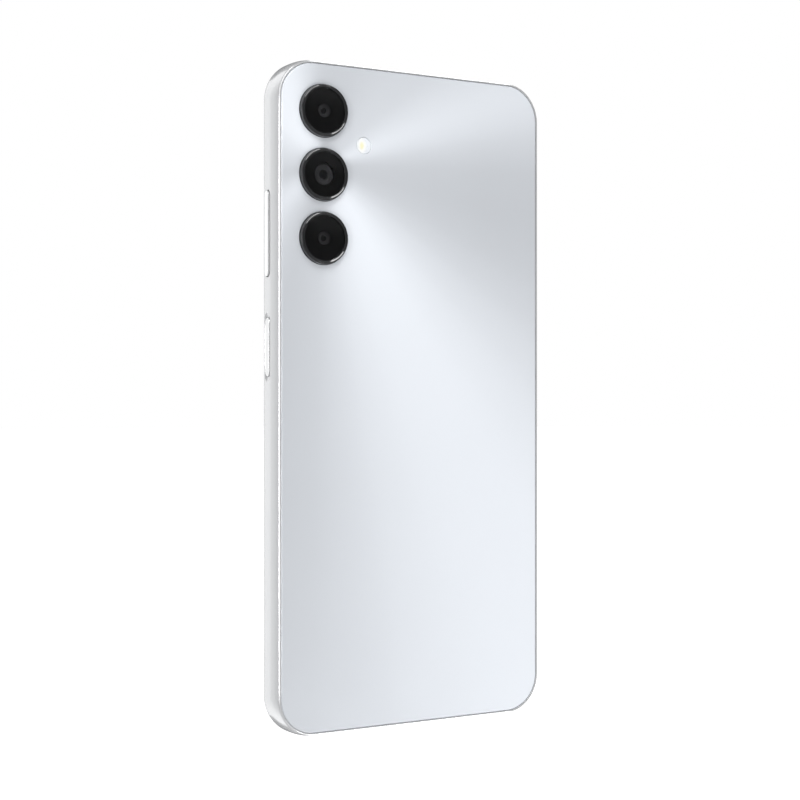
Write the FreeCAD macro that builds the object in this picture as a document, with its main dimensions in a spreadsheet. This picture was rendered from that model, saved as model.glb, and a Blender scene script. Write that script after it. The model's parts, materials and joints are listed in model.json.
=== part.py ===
"""A smartphone with a bonded back panel, three camera rings and side keys, as an assembly of separate pieces.

Millimetres. +Z runs up the phone's long side, the screen faces -Y and the back panel faces +Y.
The origin is the middle of the bottom edge, half way through the body's thickness.
"""

import FreeCAD, Part

import math
import os
import sys

import Sketcher

V = FreeCAD.Vector
doc = FreeCAD.newDocument("smartphone")
sheet = doc.addObject("Spreadsheet::Sheet", "dims")
exported = []

# Driving dimensions: alias and millimetres.
DIMENSIONS = [
    # outside of the body
    ("body_width", 77.8),
    ("body_height", 168.0),
    ("body_thickness", 8.8),
    ("corner_radius", 10.2),
    # side frame section, as insets from the widest point of the side
    ("wall", 2.3),
    ("band_front_y", -2.6),
    ("band_back_y", 1.2),
    ("back_edge_inset", 0.55),
    ("back_chamfer", 0.27),
    ("back_lip_inset", 0.82),
    ("back_seat_inset", 1.05),
    ("back_ledge_y", 3.6),
    ("front_lip_inset", 1.0),
    ("front_seat_inset", 1.15),
    ("front_ledge_y", -3.7),
    # back panel and cover glass
    ("panel_thickness", 0.65),
    ("panel_inset", 1.15),
    ("panel_bevel", 0.22),
    ("glass_thickness", 0.55),
    ("glass_inset", 1.25),
    ("glass_edge_radius", 0.35),
    # display stack
    ("lcd_half_width", 35.5),
    ("lcd_bottom", 4.4),
    ("lcd_top", 164.4),
    ("lcd_thickness", 0.6),
    ("backlight_thickness", 0.8),
    ("notch_radius", 3.9),
    # metal chassis plate and the boards
    ("chassis_front_y", -2.3),
    ("chassis_back_y", -1.5),
    ("board_front_y", 0.2),
    ("board_back_y", 0.9),
    ("cover_front_y", 2.3),
    ("cover_back_y", 3.1),
    ("boss_radius", 1.9),
    ("screw_radius", 0.6),
    ("screw_head_radius", 1.3),
    # rear cameras and flash
    ("camera_x", 26.2),
    ("camera_top_z", 155.2),
    ("camera_pitch", 15.8),
    ("ring_radius", 6.55),
    ("ring_seat_radius", 5.65),
    ("ring_height", 1.2),
    ("ring_edge_radius", 0.25),
    ("window_thickness", 0.5),
    ("flash_x", 14.7),
    ("flash_z", 147.5),
    ("flash_radius", 2.05),
    # side keys
    ("key_y", -1.1),
    ("volume_z", 124.65),
    ("volume_length", 21.1),
    ("power_z", 96.6),
    ("power_length", 14.4),
    ("key_width", 2.2),
    ("key_gap", 0.12),
    ("key_proud", 0.32),
    ("power_proud", 0.04),
    ("key_flange", 0.45),
    ("recess_length", 17.3),
    ("recess_width", 3.0),
    ("recess_depth", 0.55),
    # SIM tray
    ("tray_y", -0.675),
    ("tray_z", 128.0),
    ("tray_head_length", 17.6),
    ("tray_head_width", 1.85),
    ("tray_width", 13.6),
    ("tray_thickness", 0.85),
    ("tray_inner_x", -0.45),
    # ports along the bottom edge
    ("port_y", 0.3),
    ("usb_width", 9.0),
    ("usb_height", 3.2),
    ("jack_x", -21.5),
    ("jack_bore_radius", 1.8),
    ("jack_depth", 13.2),
    ("microphone_radius", 0.55),
    ("speaker_x", 21.5),
    ("speaker_slot_pitch", 3.3),
    ("battery_bottom", 27.0),
    ("battery_top", 109.5),
]
SPEAKER_SLOTS = 5
USB_CONTACTS_A_SIDE = 12
BOTTOM_MICROPHONE_X = -10.5
TOP_MICROPHONE_X = -21.5
# Screws that hold the upper and lower covers through the boards, as (x, z).
UPPER_SCREWS = [
    (-33.0, 160.8), (-12.0, 160.8), (18.9, 160.0), (33.3, 160.8), (-33.0, 115.6), (12.0, 115.8), (31.8, 116.0)
]
LOWER_SCREWS = [(-33.4, 21.6), (-14.6, 12.5), (5.9, 20.6)]
SPEAKER_SCREWS = [(33.2, 21.8), (12.0, 21.8)]


class Size:
    """A length that knows its value in millimetres and the sheet expression that gives it."""

    def __init__(self, value, text):
        self.value = value
        self.text = text

    def __add__(self, other):
        return Size(self.value + value_of(other), f"({self.text} + {text_of(other)})")

    def __radd__(self, other):
        return Size(value_of(other) + self.value, f"({text_of(other)} + {self.text})")

    def __sub__(self, other):
        return Size(self.value - value_of(other), f"({self.text} - {text_of(other)})")

    def __rsub__(self, other):
        return Size(value_of(other) - self.value, f"({text_of(other)} - {self.text})")

    def __mul__(self, other):
        return Size(self.value * value_of(other), f"({self.text} * {text_of(other)})")

    __rmul__ = __mul__

    def __truediv__(self, other):
        return Size(self.value / value_of(other), f"({self.text} / {text_of(other)})")

    def __neg__(self):
        return Size(-self.value, f"(0 - {self.text})")


def value_of(size):
    return size.value if isinstance(size, Size) else float(size)


def text_of(size):
    return size.text if isinstance(size, Size) else f"({float(size):.6g})"


def mm(value):
    """A fixed length, such as that of a bought part, which isn't on the sheet."""
    return Size(value, text_of(value))


def fill_sheet():
    """Writes the driving dimensions to the sheet and returns them as sizes by alias."""
    sizes = {}
    for row, (alias, value) in enumerate(DIMENSIONS, start=1):
        sheet.set(f"A{row}", alias)
        sheet.set(f"B{row}", str(value))
        sheet.setAlias(f"B{row}", alias)
        sizes[alias] = Size(value, f"dims.{alias}")
    doc.recompute()
    return sizes


def bind(thing, prop, size):
    """Gives a property its size, as an expression on the sheet where it has one."""
    thing.setExpression(prop, text_of(size))


# ---------------------------------------------------------------- outlines, as points that may start an arc


def rect(cx, cy, width, height):
    half_w, half_h = width / 2, height / 2
    return [
        (cx - half_w, cy - half_h),
        (cx + half_w, cy - half_h),
        (cx + half_w, cy + half_h),
        (cx - half_w, cy + half_h),
    ]


def span(low_x, high_x, low_y, high_y):
    """A rectangle from its sides."""
    return [(low_x, low_y), (high_x, low_y), (high_x, high_y), (low_x, high_y)]


def rounded(cx, cy, width, height, radius):
    """A rectangle with rounded corners. The third value of a point starts a counterclockwise arc."""
    left, right = cx - width / 2, cx + width / 2
    low, high = cy - height / 2, cy + height / 2
    return [
        (left + radius, low),
        (right - radius, low, radius),
        (right, low + radius),
        (right, high - radius, radius),
        (right - radius, high),
        (left + radius, high, radius),
        (left, high - radius),
        (left, low + radius, radius),
    ]


def rounded_span(low_x, high_x, low_y, high_y, radius):
    return rounded((low_x + high_x) / 2, (low_y + high_y) / 2, high_x - low_x, high_y - low_y, radius)


def stadium(cx, cy, width, height):
    """A slot with round ends, along whichever side is longer. Each end is two quarter arcs."""
    if value_of(width) >= value_of(height):
        radius, reach = height / 2, (width - height) / 2
        return [
            (cx - reach, cy - radius),
            (cx + reach, cy - radius, radius),
            (cx + width / 2, cy, radius),
            (cx + reach, cy + radius),
            (cx - reach, cy + radius, radius),
            (cx - width / 2, cy, radius),
        ]
    radius, reach = width / 2, (height - width) / 2
    return [
        (cx + radius, cy - reach),
        (cx + radius, cy + reach, radius),
        (cx, cy + height / 2, radius),
        (cx - radius, cy + reach),
        (cx - radius, cy - reach, radius),
        (cx, cy - height / 2, radius),
    ]


def disc(cx, cy, radius):
    return {"centre": (cx, cy), "radius": radius}


def arc_between(start, end, radius, clockwise):
    """The short arc of that radius from start to end."""
    if clockwise:
        start, end = end, start
    chord = end - start
    middle = (start + end) / 2
    reach = math.sqrt(max(radius**2 - (chord.Length / 2) ** 2, 0.0))
    centre = middle + V(-chord.y, chord.x, 0).normalize() * reach
    first = math.atan2(start.y - centre.y, start.x - centre.x)
    last = math.atan2(end.y - centre.y, end.x - centre.x)
    return Part.ArcOfCircle(Part.Circle(centre, V(0, 0, 1), radius), first, last)


def pin_point(sketch, geometry, position, x, y):
    """Holds one point of a sketch at (x, y)."""
    for kind, size, axis in (("DistanceX", x, -2), ("DistanceY", y, -1)):
        if abs(value_of(size)) < 1e-9:
            sketch.addConstraint(Sketcher.Constraint("PointOnObject", geometry, position, axis))
        else:
            found = sketch.addConstraint(Sketcher.Constraint(kind, -1, 1, geometry, position, value_of(size)))
            if isinstance(size, Size):
                bind(sketch, f"Constraints[{found}]", size)


def draw(sketch, outline):
    """Draws a closed outline, with every point and radius constrained. A negative radius turns clockwise."""
    if isinstance(outline, dict):
        cx, cy = outline["centre"]
        radius = outline["radius"]
        centre = V(value_of(cx), value_of(cy), 0)
        circle = sketch.addGeometry(Part.Circle(centre, V(0, 0, 1), value_of(radius)))
        pin_point(sketch, circle, 3, cx, cy)
        found = sketch.addConstraint(Sketcher.Constraint("Radius", circle, value_of(radius)))
        bind(sketch, f"Constraints[{found}]", radius)
        return
    first = sketch.GeometryCount
    count = len(outline)
    ends = []
    for n, point in enumerate(outline):
        after = outline[(n + 1) % count]
        start = V(value_of(point[0]), value_of(point[1]), 0)
        end = V(value_of(after[0]), value_of(after[1]), 0)
        if len(point) == 2:
            sketch.addGeometry(Part.LineSegment(start, end))
            ends.append((1, 2))
            continue
        radius = point[2]
        clockwise = value_of(radius) < 0
        size = -radius if clockwise else radius
        found = sketch.addGeometry(arc_between(start, end, value_of(size), clockwise))
        found = sketch.addConstraint(Sketcher.Constraint("Radius", found, value_of(size)))
        bind(sketch, f"Constraints[{found}]", size)
        ends.append((2, 1) if clockwise else (1, 2))
    for n, point in enumerate(outline):
        after = (n + 1) % count
        sketch.addConstraint(
            Sketcher.Constraint("Coincident", first + n, ends[n][1], first + after, ends[after][0]),
        )
        pin_point(sketch, first + n, ends[n][0], point[0], point[1])


# ---------------------------------------------------------------- PartDesign bodies

PLANES = {"XY": "XY_Plane", "XZ": "XZ_Plane", "YZ": "YZ_Plane"}


def new_body(label):
    body = doc.addObject("PartDesign::Body", label)
    body.Label = label
    return body


def new_sketch(body, plane, outlines, offset):
    """A sketch on one of the body's own origin planes, that far along the plane's axis."""
    sketch = body.newObject("Sketcher::SketchObject", body.Name + "_sketch")
    origin = next(f for f in body.Origin.OriginFeatures if f.Role == PLANES[plane])
    sketch.AttachmentSupport = (origin, [""])
    sketch.MapMode = "FlatFace"
    bind(sketch, "AttachmentOffset.Base.z", -offset if plane == "XZ" else offset)
    for outline in outlines:
        draw(sketch, outline)
    return sketch


def pad(body, plane, outlines, low, high):
    """Adds material between two levels along the axis across the plane: Y for XZ, X for YZ, Z for XY."""
    sketch = new_sketch(body, plane, outlines, high if plane == "XZ" else low)
    feature = body.newObject("PartDesign::Pad", body.Name + "_pad")
    feature.Profile = sketch
    bind(feature, "Length", high - low)
    return checked(body, feature, larger=True)


def pocket(body, plane, outlines, low, high):
    """Removes material between two levels along the axis across the plane."""
    sketch = new_sketch(body, plane, outlines, low if plane == "XZ" else high)
    feature = body.newObject("PartDesign::Pocket", body.Name + "_pocket")
    feature.Profile = sketch
    bind(feature, "Length", high - low)
    return checked(body, feature, larger=False)


def checked(body, feature, larger):
    """Recomputes and stops if the feature changed nothing."""
    earlier = feature.BaseFeature.Shape.Volume if feature.BaseFeature else 0.0
    doc.recompute()
    now = feature.Shape.Volume
    if (now <= earlier + 1e-9) if larger else (now >= earlier - 1e-9):
        sys.exit(f"{feature.Label} changed nothing: {earlier:.3f} to {now:.3f} mm3")
    return feature


def slab(label, outline, low, high):
    """A plate across Y."""
    body = new_body(label)
    pad(body, "XZ", [outline], low, high)
    return body


def turned(label, profile, cx, cz):
    """A piece turned about an axis along Y through (cx, cz), from a profile of (radius, y) points."""
    body = new_body(label)
    sketch = new_sketch(body, "XY", [profile], mm(0.0))
    feature = body.newObject("PartDesign::Revolution", label + "_turn")
    feature.Profile = sketch
    feature.ReferenceAxis = (sketch, ["V_Axis"])
    feature.Angle = 360.0
    bind(body, "Placement.Base.x", cx)
    bind(body, "Placement.Base.z", cz)
    checked(body, feature, larger=True)
    return body


def dress(body, kind, size, wanted):
    """Fillets or chamfers the edges that the wanted test picks."""
    base = body.Tip
    names = [f"Edge{n}" for n, edge in enumerate(base.Shape.Edges, start=1) if wanted(edge)]
    if not names:
        sys.exit(f"no edge of {body.Label} to {kind}")
    feature = body.newObject(f"PartDesign::{kind}", f"{body.Name}_{kind.lower()}")
    feature.Base = (base, names)
    bind(feature, "Radius" if kind == "Fillet" else "Size", size)
    doc.recompute()
    return feature


def at_level(axis, level, inside=None):
    """Picks edges that lie wholly at one level of an axis, and whose middle passes a further test."""

    def wanted(edge):
        low, high = getattr(edge.BoundBox, axis + "Min"), getattr(edge.BoundBox, axis + "Max")
        level_now = value_of(level)
        return abs(low - level_now) < 1e-4 and abs(high - level_now) < 1e-4 and (inside is None or inside(edge))

    return wanted


def along(axis):
    """Picks the straight edges that run along an axis."""

    def wanted(edge):
        length = getattr(edge.BoundBox, axis + "Length")
        return isinstance(edge.Curve, Part.Line) and abs(length - edge.Length) < 1e-6

    return wanted


# ---------------------------------------------------------------- Part primitives


def block(label, x, y, z):
    """A box from its (low, high) along each axis."""
    box = doc.addObject("Part::Box", label)
    box.Label = label
    for prop, letter, (low, high) in (("Length", "x", x), ("Width", "y", y), ("Height", "z", z)):
        bind(box, prop, high - low)
        bind(box, f"Placement.Base.{letter}", low)
    return box


AXIS_TURNS = {"X": (V(0, 1, 0), 90), "Y": (V(1, 0, 0), -90), "Z": (V(0, 0, 1), 0)}


def rod(label, axis, centre, radius, low, high):
    """A cylinder along an axis, from low to high, with its centre given on the other two axes in order."""
    cylinder = doc.addObject("Part::Cylinder", label)
    cylinder.Label = label
    turn, angle = AXIS_TURNS[axis]
    cylinder.Placement = FreeCAD.Placement(V(0, 0, 0), FreeCAD.Rotation(turn, angle))
    places = dict(zip([a for a in "XYZ" if a != axis], centre))
    places[axis] = low
    for letter, size in places.items():
        bind(cylinder, f"Placement.Base.{letter.lower()}", size)
    bind(cylinder, "Radius", radius)
    bind(cylinder, "Height", high - low)
    return cylinder


def joined(label, pieces):
    fuse = doc.addObject("Part::MultiFuse", label)
    fuse.Label = label
    fuse.Shapes = pieces
    return fuse


def without(label, base, tools):
    """The base with the tools cut out of it."""
    cut = doc.addObject("Part::Cut", label)
    cut.Label = label
    cut.Base = base
    cut.Tool = tools[0] if len(tools) == 1 else joined(label + "_tools", tools)
    return cut


def group(label, pieces):
    """Separate solids that share one node."""
    compound = doc.addObject("Part::Compound", label)
    compound.Label = label
    compound.Links = pieces
    return compound


def keep(*pieces):
    """Marks finished sub-parts, which are written out under their labels."""
    exported.extend(pieces)
    return pieces[0]


# ---------------------------------------------------------------- levels that several pieces share

D = fill_sheet()
HALF = D["body_width"] / 2
HEIGHT = D["body_height"]
FRONT = -D["body_thickness"] / 2
BACK = D["body_thickness"] / 2
WALL = D["wall"]
PANEL_FRONT = BACK - D["panel_thickness"]
GLASS_BACK = FRONT + D["glass_thickness"]
LCD_BACK = GLASS_BACK + D["lcd_thickness"]
BACKLIGHT_BACK = LCD_BACK + D["backlight_thickness"]
CHASSIS_FRONT = D["chassis_front_y"]
CHASSIS_BACK = D["chassis_back_y"]
BOARD_FRONT = D["board_front_y"]
BOARD_BACK = D["board_back_y"]
COVER_FRONT = D["cover_front_y"]
COVER_BACK = D["cover_back_y"]
INNER_X = HALF - WALL
INNER_TOP = HEIGHT - WALL
KEY_Y = D["key_y"]
PORT_Y = D["port_y"]
FRONT_CAMERA_Z = 160.9
KEY_FLEX_X = 35.0
DOME_FACE_X = 35.4
CLEAR_OF_SOLID = 0.5


def inset_outline(inset):
    """The body's outline seen from the front, moved in by an inset."""
    return rounded(
        mm(0.0), HEIGHT / 2, D["body_width"] - 2 * inset, HEIGHT - 2 * inset, D["corner_radius"] - inset
    )


# ---------------------------------------------------------------- outer shell


def tangent_radius(rise, inset):
    """Radius of the arc that leaves a straight side without a corner and moves in by an inset over a rise."""
    return (rise * rise + inset * inset) / (2 * inset)


def make_side_frame():
    """The moulded ring round the body: a wall section swept round the outline, cut for keys, tray and ports."""
    body = new_body("side_frame")
    front_lip_y = FRONT + 0.1
    back_sweep = tangent_radius(BACK - D["back_chamfer"] - D["band_back_y"], D["back_edge_inset"])
    front_sweep = tangent_radius(D["band_front_y"] - front_lip_y, D["front_lip_inset"])
    section = [
        (HALF - WALL, D["front_ledge_y"]),
        (HALF - WALL, D["back_ledge_y"]),
        (HALF - D["back_seat_inset"], D["back_ledge_y"]),
        (HALF - D["back_seat_inset"], BACK),
        (HALF - D["back_lip_inset"], BACK),
        (HALF - D["back_edge_inset"], BACK - D["back_chamfer"], -back_sweep),
        (HALF, D["band_back_y"]),
        (HALF, D["band_front_y"], -front_sweep),
        (HALF - D["front_lip_inset"], front_lip_y),
        (HALF - D["front_seat_inset"], front_lip_y),
        (HALF - D["front_seat_inset"], D["front_ledge_y"]),
    ]
    profile = new_sketch(body, "XY", [section], HEIGHT / 2)
    radius = D["corner_radius"]
    path = [
        (HALF, HEIGHT / 2),
        (HALF, HEIGHT - radius, radius),
        (HALF - radius, HEIGHT),
        (radius - HALF, HEIGHT, radius),
        (-HALF, HEIGHT - radius),
        (-HALF, radius, radius),
        (radius - HALF, mm(0.0)),
        (HALF - radius, mm(0.0), radius),
        (HALF, radius),
    ]
    spine = new_sketch(body, "XZ", [path], mm(0.0))
    doc.recompute()
    pipe = body.newObject("PartDesign::AdditivePipe", "side_frame_sweep")
    pipe.Profile = profile
    pipe.Spine = (spine, [])
    checked(body, pipe, larger=True)

    outside = HALF + 1.0
    inside = HALF - WALL - CLEAR_OF_SOLID
    gap = D["key_gap"]
    key_slots = [
        stadium(KEY_Y, D["volume_z"], D["key_width"] + 2 * gap, D["volume_length"] + 2 * gap),
        stadium(KEY_Y, D["power_z"], D["key_width"] + 2 * gap, D["power_length"] + 2 * gap),
    ]
    recess = stadium(KEY_Y, D["power_z"], D["recess_width"], D["recess_length"])
    pocket(body, "YZ", [recess], HALF - D["recess_depth"], outside)
    pocket(body, "YZ", key_slots, inside, outside)
    # the tray slot: a wide mouth for the head, then a shoulder that passes only the carrier and the eject pin
    head = rect(D["tray_y"], D["tray_z"], D["tray_head_width"] + 0.2, D["tray_head_length"] + 0.2)
    neck = rect(D["tray_y"], D["tray_z"], D["tray_thickness"] + 0.6, D["tray_width"] + 0.6)
    pin = disc(D["tray_y"], eject_z(), mm(0.6))
    shoulder = -HALF + 1.7
    pocket(body, "YZ", [head], -outside, shoulder)
    pocket(body, "YZ", [neck, pin], -HALF, -inside)
    # the bottom edge: USB, headphone jack, microphone and loudspeaker slots; the top edge: a microphone
    slots = [
        stadium(
            D["speaker_x"] + (n - (SPEAKER_SLOTS - 1) / 2) * D["speaker_slot_pitch"], PORT_Y, mm(2.4), mm(1.25)
        )
        for n in range(SPEAKER_SLOTS)
    ]
    ports = [
        stadium(mm(0.0), PORT_Y, D["usb_width"] + 0.2, D["usb_height"] + 0.2),
        disc(D["jack_x"], PORT_Y, D["jack_bore_radius"]),
        disc(mm(BOTTOM_MICROPHONE_X), PORT_Y, D["microphone_radius"]),
    ]
    pocket(body, "XY", ports + slots, mm(-0.5), WALL + CLEAR_OF_SOLID)
    top_hole = disc(mm(TOP_MICROPHONE_X), PORT_Y, D["microphone_radius"])
    pocket(body, "XY", [top_hole], INNER_TOP - CLEAR_OF_SOLID, HEIGHT + 0.5)
    # the earpiece's sound channel, a groove in the ledge behind the glass
    channel = span(-5.0, 5.0, INNER_TOP - CLEAR_OF_SOLID, INNER_TOP + 0.75)
    pocket(body, "XZ", [channel], D["front_ledge_y"] - CLEAR_OF_SOLID, CHASSIS_FRONT)
    return keep(body)


def eject_z():
    """Height of the eject hole and its push rod, beside the tray."""
    return D["tray_z"] + D["tray_width"] / 2 + 1.05


def camera_heights():
    """The three rear camera centres, from the top down."""
    return [D["camera_top_z"] - n * D["camera_pitch"] for n in range(3)]


def make_back_panel():
    body = slab("back_panel", inset_outline(D["panel_inset"]), PANEL_FRONT, BACK)
    dress(body, "Chamfer", D["panel_bevel"], at_level("Y", BACK))
    holes = [disc(D["camera_x"], z, D["ring_radius"] + 0.1) for z in camera_heights()]
    holes.append(disc(D["flash_x"], D["flash_z"], D["flash_radius"] + 0.07))
    pocket(body, "XZ", holes, PANEL_FRONT - CLEAR_OF_SOLID, BACK + CLEAR_OF_SOLID)
    return keep(body)


def make_cover_glass():
    body = slab("cover_glass", inset_outline(D["glass_inset"]), FRONT, GLASS_BACK)
    dress(body, "Fillet", D["glass_edge_radius"], at_level("Y", FRONT))
    notch = rounded_span(mm(-5.6), mm(5.6), HEIGHT - D["glass_inset"] - 0.7, HEIGHT, mm(0.3))
    pocket(body, "XZ", [notch], FRONT - CLEAR_OF_SOLID, GLASS_BACK + CLEAR_OF_SOLID)
    return keep(body)


def make_ring_tape(label, low, high):
    """A die-cut ring of double-sided tape on the frame's ledge."""
    body = slab(label, inset_outline(D["glass_inset"] + 0.05), low, high)
    pocket(body, "XZ", [inset_outline(WALL - 0.1)], low - CLEAR_OF_SOLID, high + CLEAR_OF_SOLID)
    return keep(body)


def make_display():
    """Cell, backlight and the tapes that hold the front together."""
    tape = make_ring_tape("display_adhesive", GLASS_BACK, D["front_ledge_y"])
    gap = span(-6.2, 6.2, INNER_TOP - 0.2, HEIGHT)
    pocket(tape, "XZ", [gap], GLASS_BACK - CLEAR_OF_SOLID, D["front_ledge_y"] + CLEAR_OF_SOLID)
    for label, low, high, margin in (
        ("lcd_cell", GLASS_BACK, LCD_BACK, 0.0),
        ("backlight_unit", LCD_BACK, BACKLIGHT_BACK, 0.3),
    ):
        half = D["lcd_half_width"] - margin
        outline = rounded_span(-half, half, D["lcd_bottom"] + margin, D["lcd_top"] - margin, mm(4.5))
        body = slab(label, outline, low, high)
        radius = D["notch_radius"] + margin
        notch = [
            (radius, D["lcd_top"] + 1.0),
            (-radius, D["lcd_top"] + 1.0),
            (-radius, mm(FRONT_CAMERA_Z), radius),
            (mm(0.0), FRONT_CAMERA_Z - radius, radius),
            (radius, mm(FRONT_CAMERA_Z)),
        ]
        pocket(body, "XZ", [notch], low - CLEAR_OF_SOLID, high + CLEAR_OF_SOLID)
        keep(body)
    mesh_low = HEIGHT - D["glass_inset"] - 0.66
    keep(block("earpiece_mesh", (-5.4, 5.4), (FRONT + 0.25, FRONT + 0.4), (mesh_low, mesh_low + 0.72)))


def make_chassis():
    """The die-cast plate inside the frame, with screw bosses and openings for the tall pieces."""
    body = slab("mid_chassis", inset_outline(WALL), CHASSIS_FRONT, CHASSIS_BACK)
    screws = [*UPPER_SCREWS, *LOWER_SCREWS, *SPEAKER_SCREWS]
    pad(body, "XZ", [disc(x, z, D["boss_radius"]) for x, z in screws], CHASSIS_BACK - 0.2, BOARD_FRONT)
    holes = [disc(x, z, D["screw_radius"] + 0.06) for x, z in screws]
    pocket(body, "XZ", holes, CHASSIS_BACK + 0.1, BOARD_FRONT + CLEAR_OF_SOLID)
    key_low = D["power_z"] - D["recess_length"] / 2 - 1.4
    key_high = D["volume_z"] + D["volume_length"] / 2 + 2.8
    openings = [
        span(INNER_X - 2.3, INNER_X + 1.0, key_low, key_high),
        span(D["jack_x"] - 2.7, D["jack_x"] + 2.7, WALL - 1.0, WALL + 14.6),
        rect(mm(0.0), FRONT_CAMERA_Z, mm(6.8), mm(6.8)),
    ]
    pocket(body, "XZ", openings, CHASSIS_FRONT - CLEAR_OF_SOLID, CHASSIS_BACK + CLEAR_OF_SOLID)
    return keep(body)


# ---------------------------------------------------------------- rear cameras and flash


def make_camera_rings():
    """Turned metal rings that stand proud of the panel, each with a glass window let into its rim."""
    rim = BACK + D["ring_height"]
    seat = rim - 0.25 - D["window_thickness"]
    outer = D["ring_radius"]
    inner = D["ring_seat_radius"]
    flange_back = PANEL_FRONT - 0.05
    rings, windows = [], []
    for name, z in zip(("top", "middle", "bottom"), camera_heights()):
        profile = [
            (inner - 0.32, COVER_BACK + 0.2),
            (outer + 0.65, COVER_BACK + 0.2),
            (outer + 0.65, flange_back),
            (outer, flange_back),
            (outer, rim - D["ring_edge_radius"], D["ring_edge_radius"]),
            (outer - D["ring_edge_radius"], rim),
            (inner + 0.45, rim),
            (inner, rim - 0.3),
            (inner, seat),
            (inner - 0.32, seat),
        ]
        rings.append(turned(f"camera_ring_{name}", profile, D["camera_x"], z))
        glass = inner - 0.04
        pane = [
            (mm(0.0), seat),
            (glass, seat),
            (glass, seat + D["window_thickness"] - 0.08),
            (glass - 0.08, seat + D["window_thickness"]),
            (mm(0.0), seat + D["window_thickness"]),
        ]
        windows.append(turned(f"camera_window_{name}", pane, D["camera_x"], z))
    keep(*rings)
    keep(group("camera_windows", windows))


def make_flash():
    """A domed diffuser that pipes the light of an LED on the board to the panel."""
    radius = D["flash_radius"]
    zero = mm(0.0)
    profile = [
        (zero, BOARD_BACK + 0.75),
        (radius - 0.6, BOARD_BACK + 0.75),
        (radius - 0.6, COVER_BACK + 0.1),
        (radius + 0.5, COVER_BACK + 0.1),
        (radius + 0.5, PANEL_FRONT - 0.05),
        (radius, PANEL_FRONT - 0.05),
        (radius, BACK - 0.12),
        (radius - 0.12, BACK),
        (zero, BACK),
    ]
    keep(turned("flash_lens", profile, D["flash_x"], D["flash_z"]))
    x, z = D["flash_x"], D["flash_z"]
    keep(block("flash_led", (x - 0.8, x + 0.8), (BOARD_BACK, BOARD_BACK + 0.6), (z - 0.8, z + 0.8)))


def make_camera_modules():
    """The autofocus main camera, with its lens barrel free to slide, and two fixed-focus modules."""
    x = D["camera_x"]
    _, main_z, _ = camera_heights()
    zero = mm(0.0)
    sensor_back = CHASSIS_BACK + 0.5
    keep(
        block(
            "main_camera_sensor", (x - 4.4, x + 4.4), (CHASSIS_BACK, sensor_back), (main_z - 4.4, main_z + 4.4)
        ),
    )
    housing = slab("main_camera_housing", rect(x, main_z, mm(8.6), mm(8.6)), sensor_back, mm(3.2))
    dress(housing, "Fillet", mm(0.4), along("Y"))
    pocket(housing, "XZ", [disc(x, main_z, mm(3.3))], sensor_back + 0.5, mm(3.7))
    keep(housing)
    barrel = [
        (zero, sensor_back + 0.65),
        (mm(3.24), sensor_back + 0.65),
        (mm(3.24), mm(2.9)),
        (mm(2.7), mm(3.15)),
        (mm(2.7), mm(4.2)),
        (mm(1.75), mm(4.2)),
        (mm(1.25), mm(3.7)),
        (zero, mm(3.7)),
    ]
    keep(turned("main_camera_barrel", barrel, x, main_z))
    keep(turned("main_camera_lens", lens_profile(1.2, 3.7), x, main_z))
    modules, lenses = [], []
    top_z, _, bottom_z = camera_heights()
    for name, z in (("macro", top_z), ("depth", bottom_z)):
        module = slab(f"{name}_module", rect(x, z, mm(6.6), mm(6.6)), CHASSIS_BACK, mm(2.6))
        dress(module, "Fillet", mm(0.4), along("Y"))
        pad(module, "XZ", [disc(x, z, mm(1.9))], mm(2.4), mm(4.25))
        pocket(module, "XZ", [disc(x, z, mm(0.85))], mm(3.8), mm(4.5))
        modules.append(module)
        lenses.append(turned(f"{name}_lens", lens_profile(0.8, 3.8), x, z))
    keep(group("auxiliary_cameras", [*modules, *lenses]))


def lens_profile(radius, seat):
    """A thick element that stands on its seat, with its edge ground away in two steps."""
    radius = mm(radius)
    seat = mm(seat)
    zero = mm(0.0)
    return [
        (zero, seat),
        (radius, seat),
        (radius, seat + 0.1),
        (radius * 0.75, seat + 0.2),
        (radius * 0.35, seat + 0.25),
        (zero, seat + 0.25),
    ]


def make_front_camera():
    z = mm(FRONT_CAMERA_Z)
    zero = mm(0.0)
    body = slab("front_module", rect(zero, z, mm(6.2), mm(6.2)), mm(-2.0), mm(1.2))
    pad(body, "XZ", [disc(zero, z, mm(2.5))], mm(-3.75), mm(-1.9))
    pocket(body, "XZ", [disc(zero, z, mm(1.0))], mm(-4.0), mm(-3.35))
    lens = rod("front_lens", "Y", (0.0, z), mm(0.95), mm(-3.6), mm(-3.35))
    keep(group("front_camera", [body, lens]))


# ---------------------------------------------------------------- side keys


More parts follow.
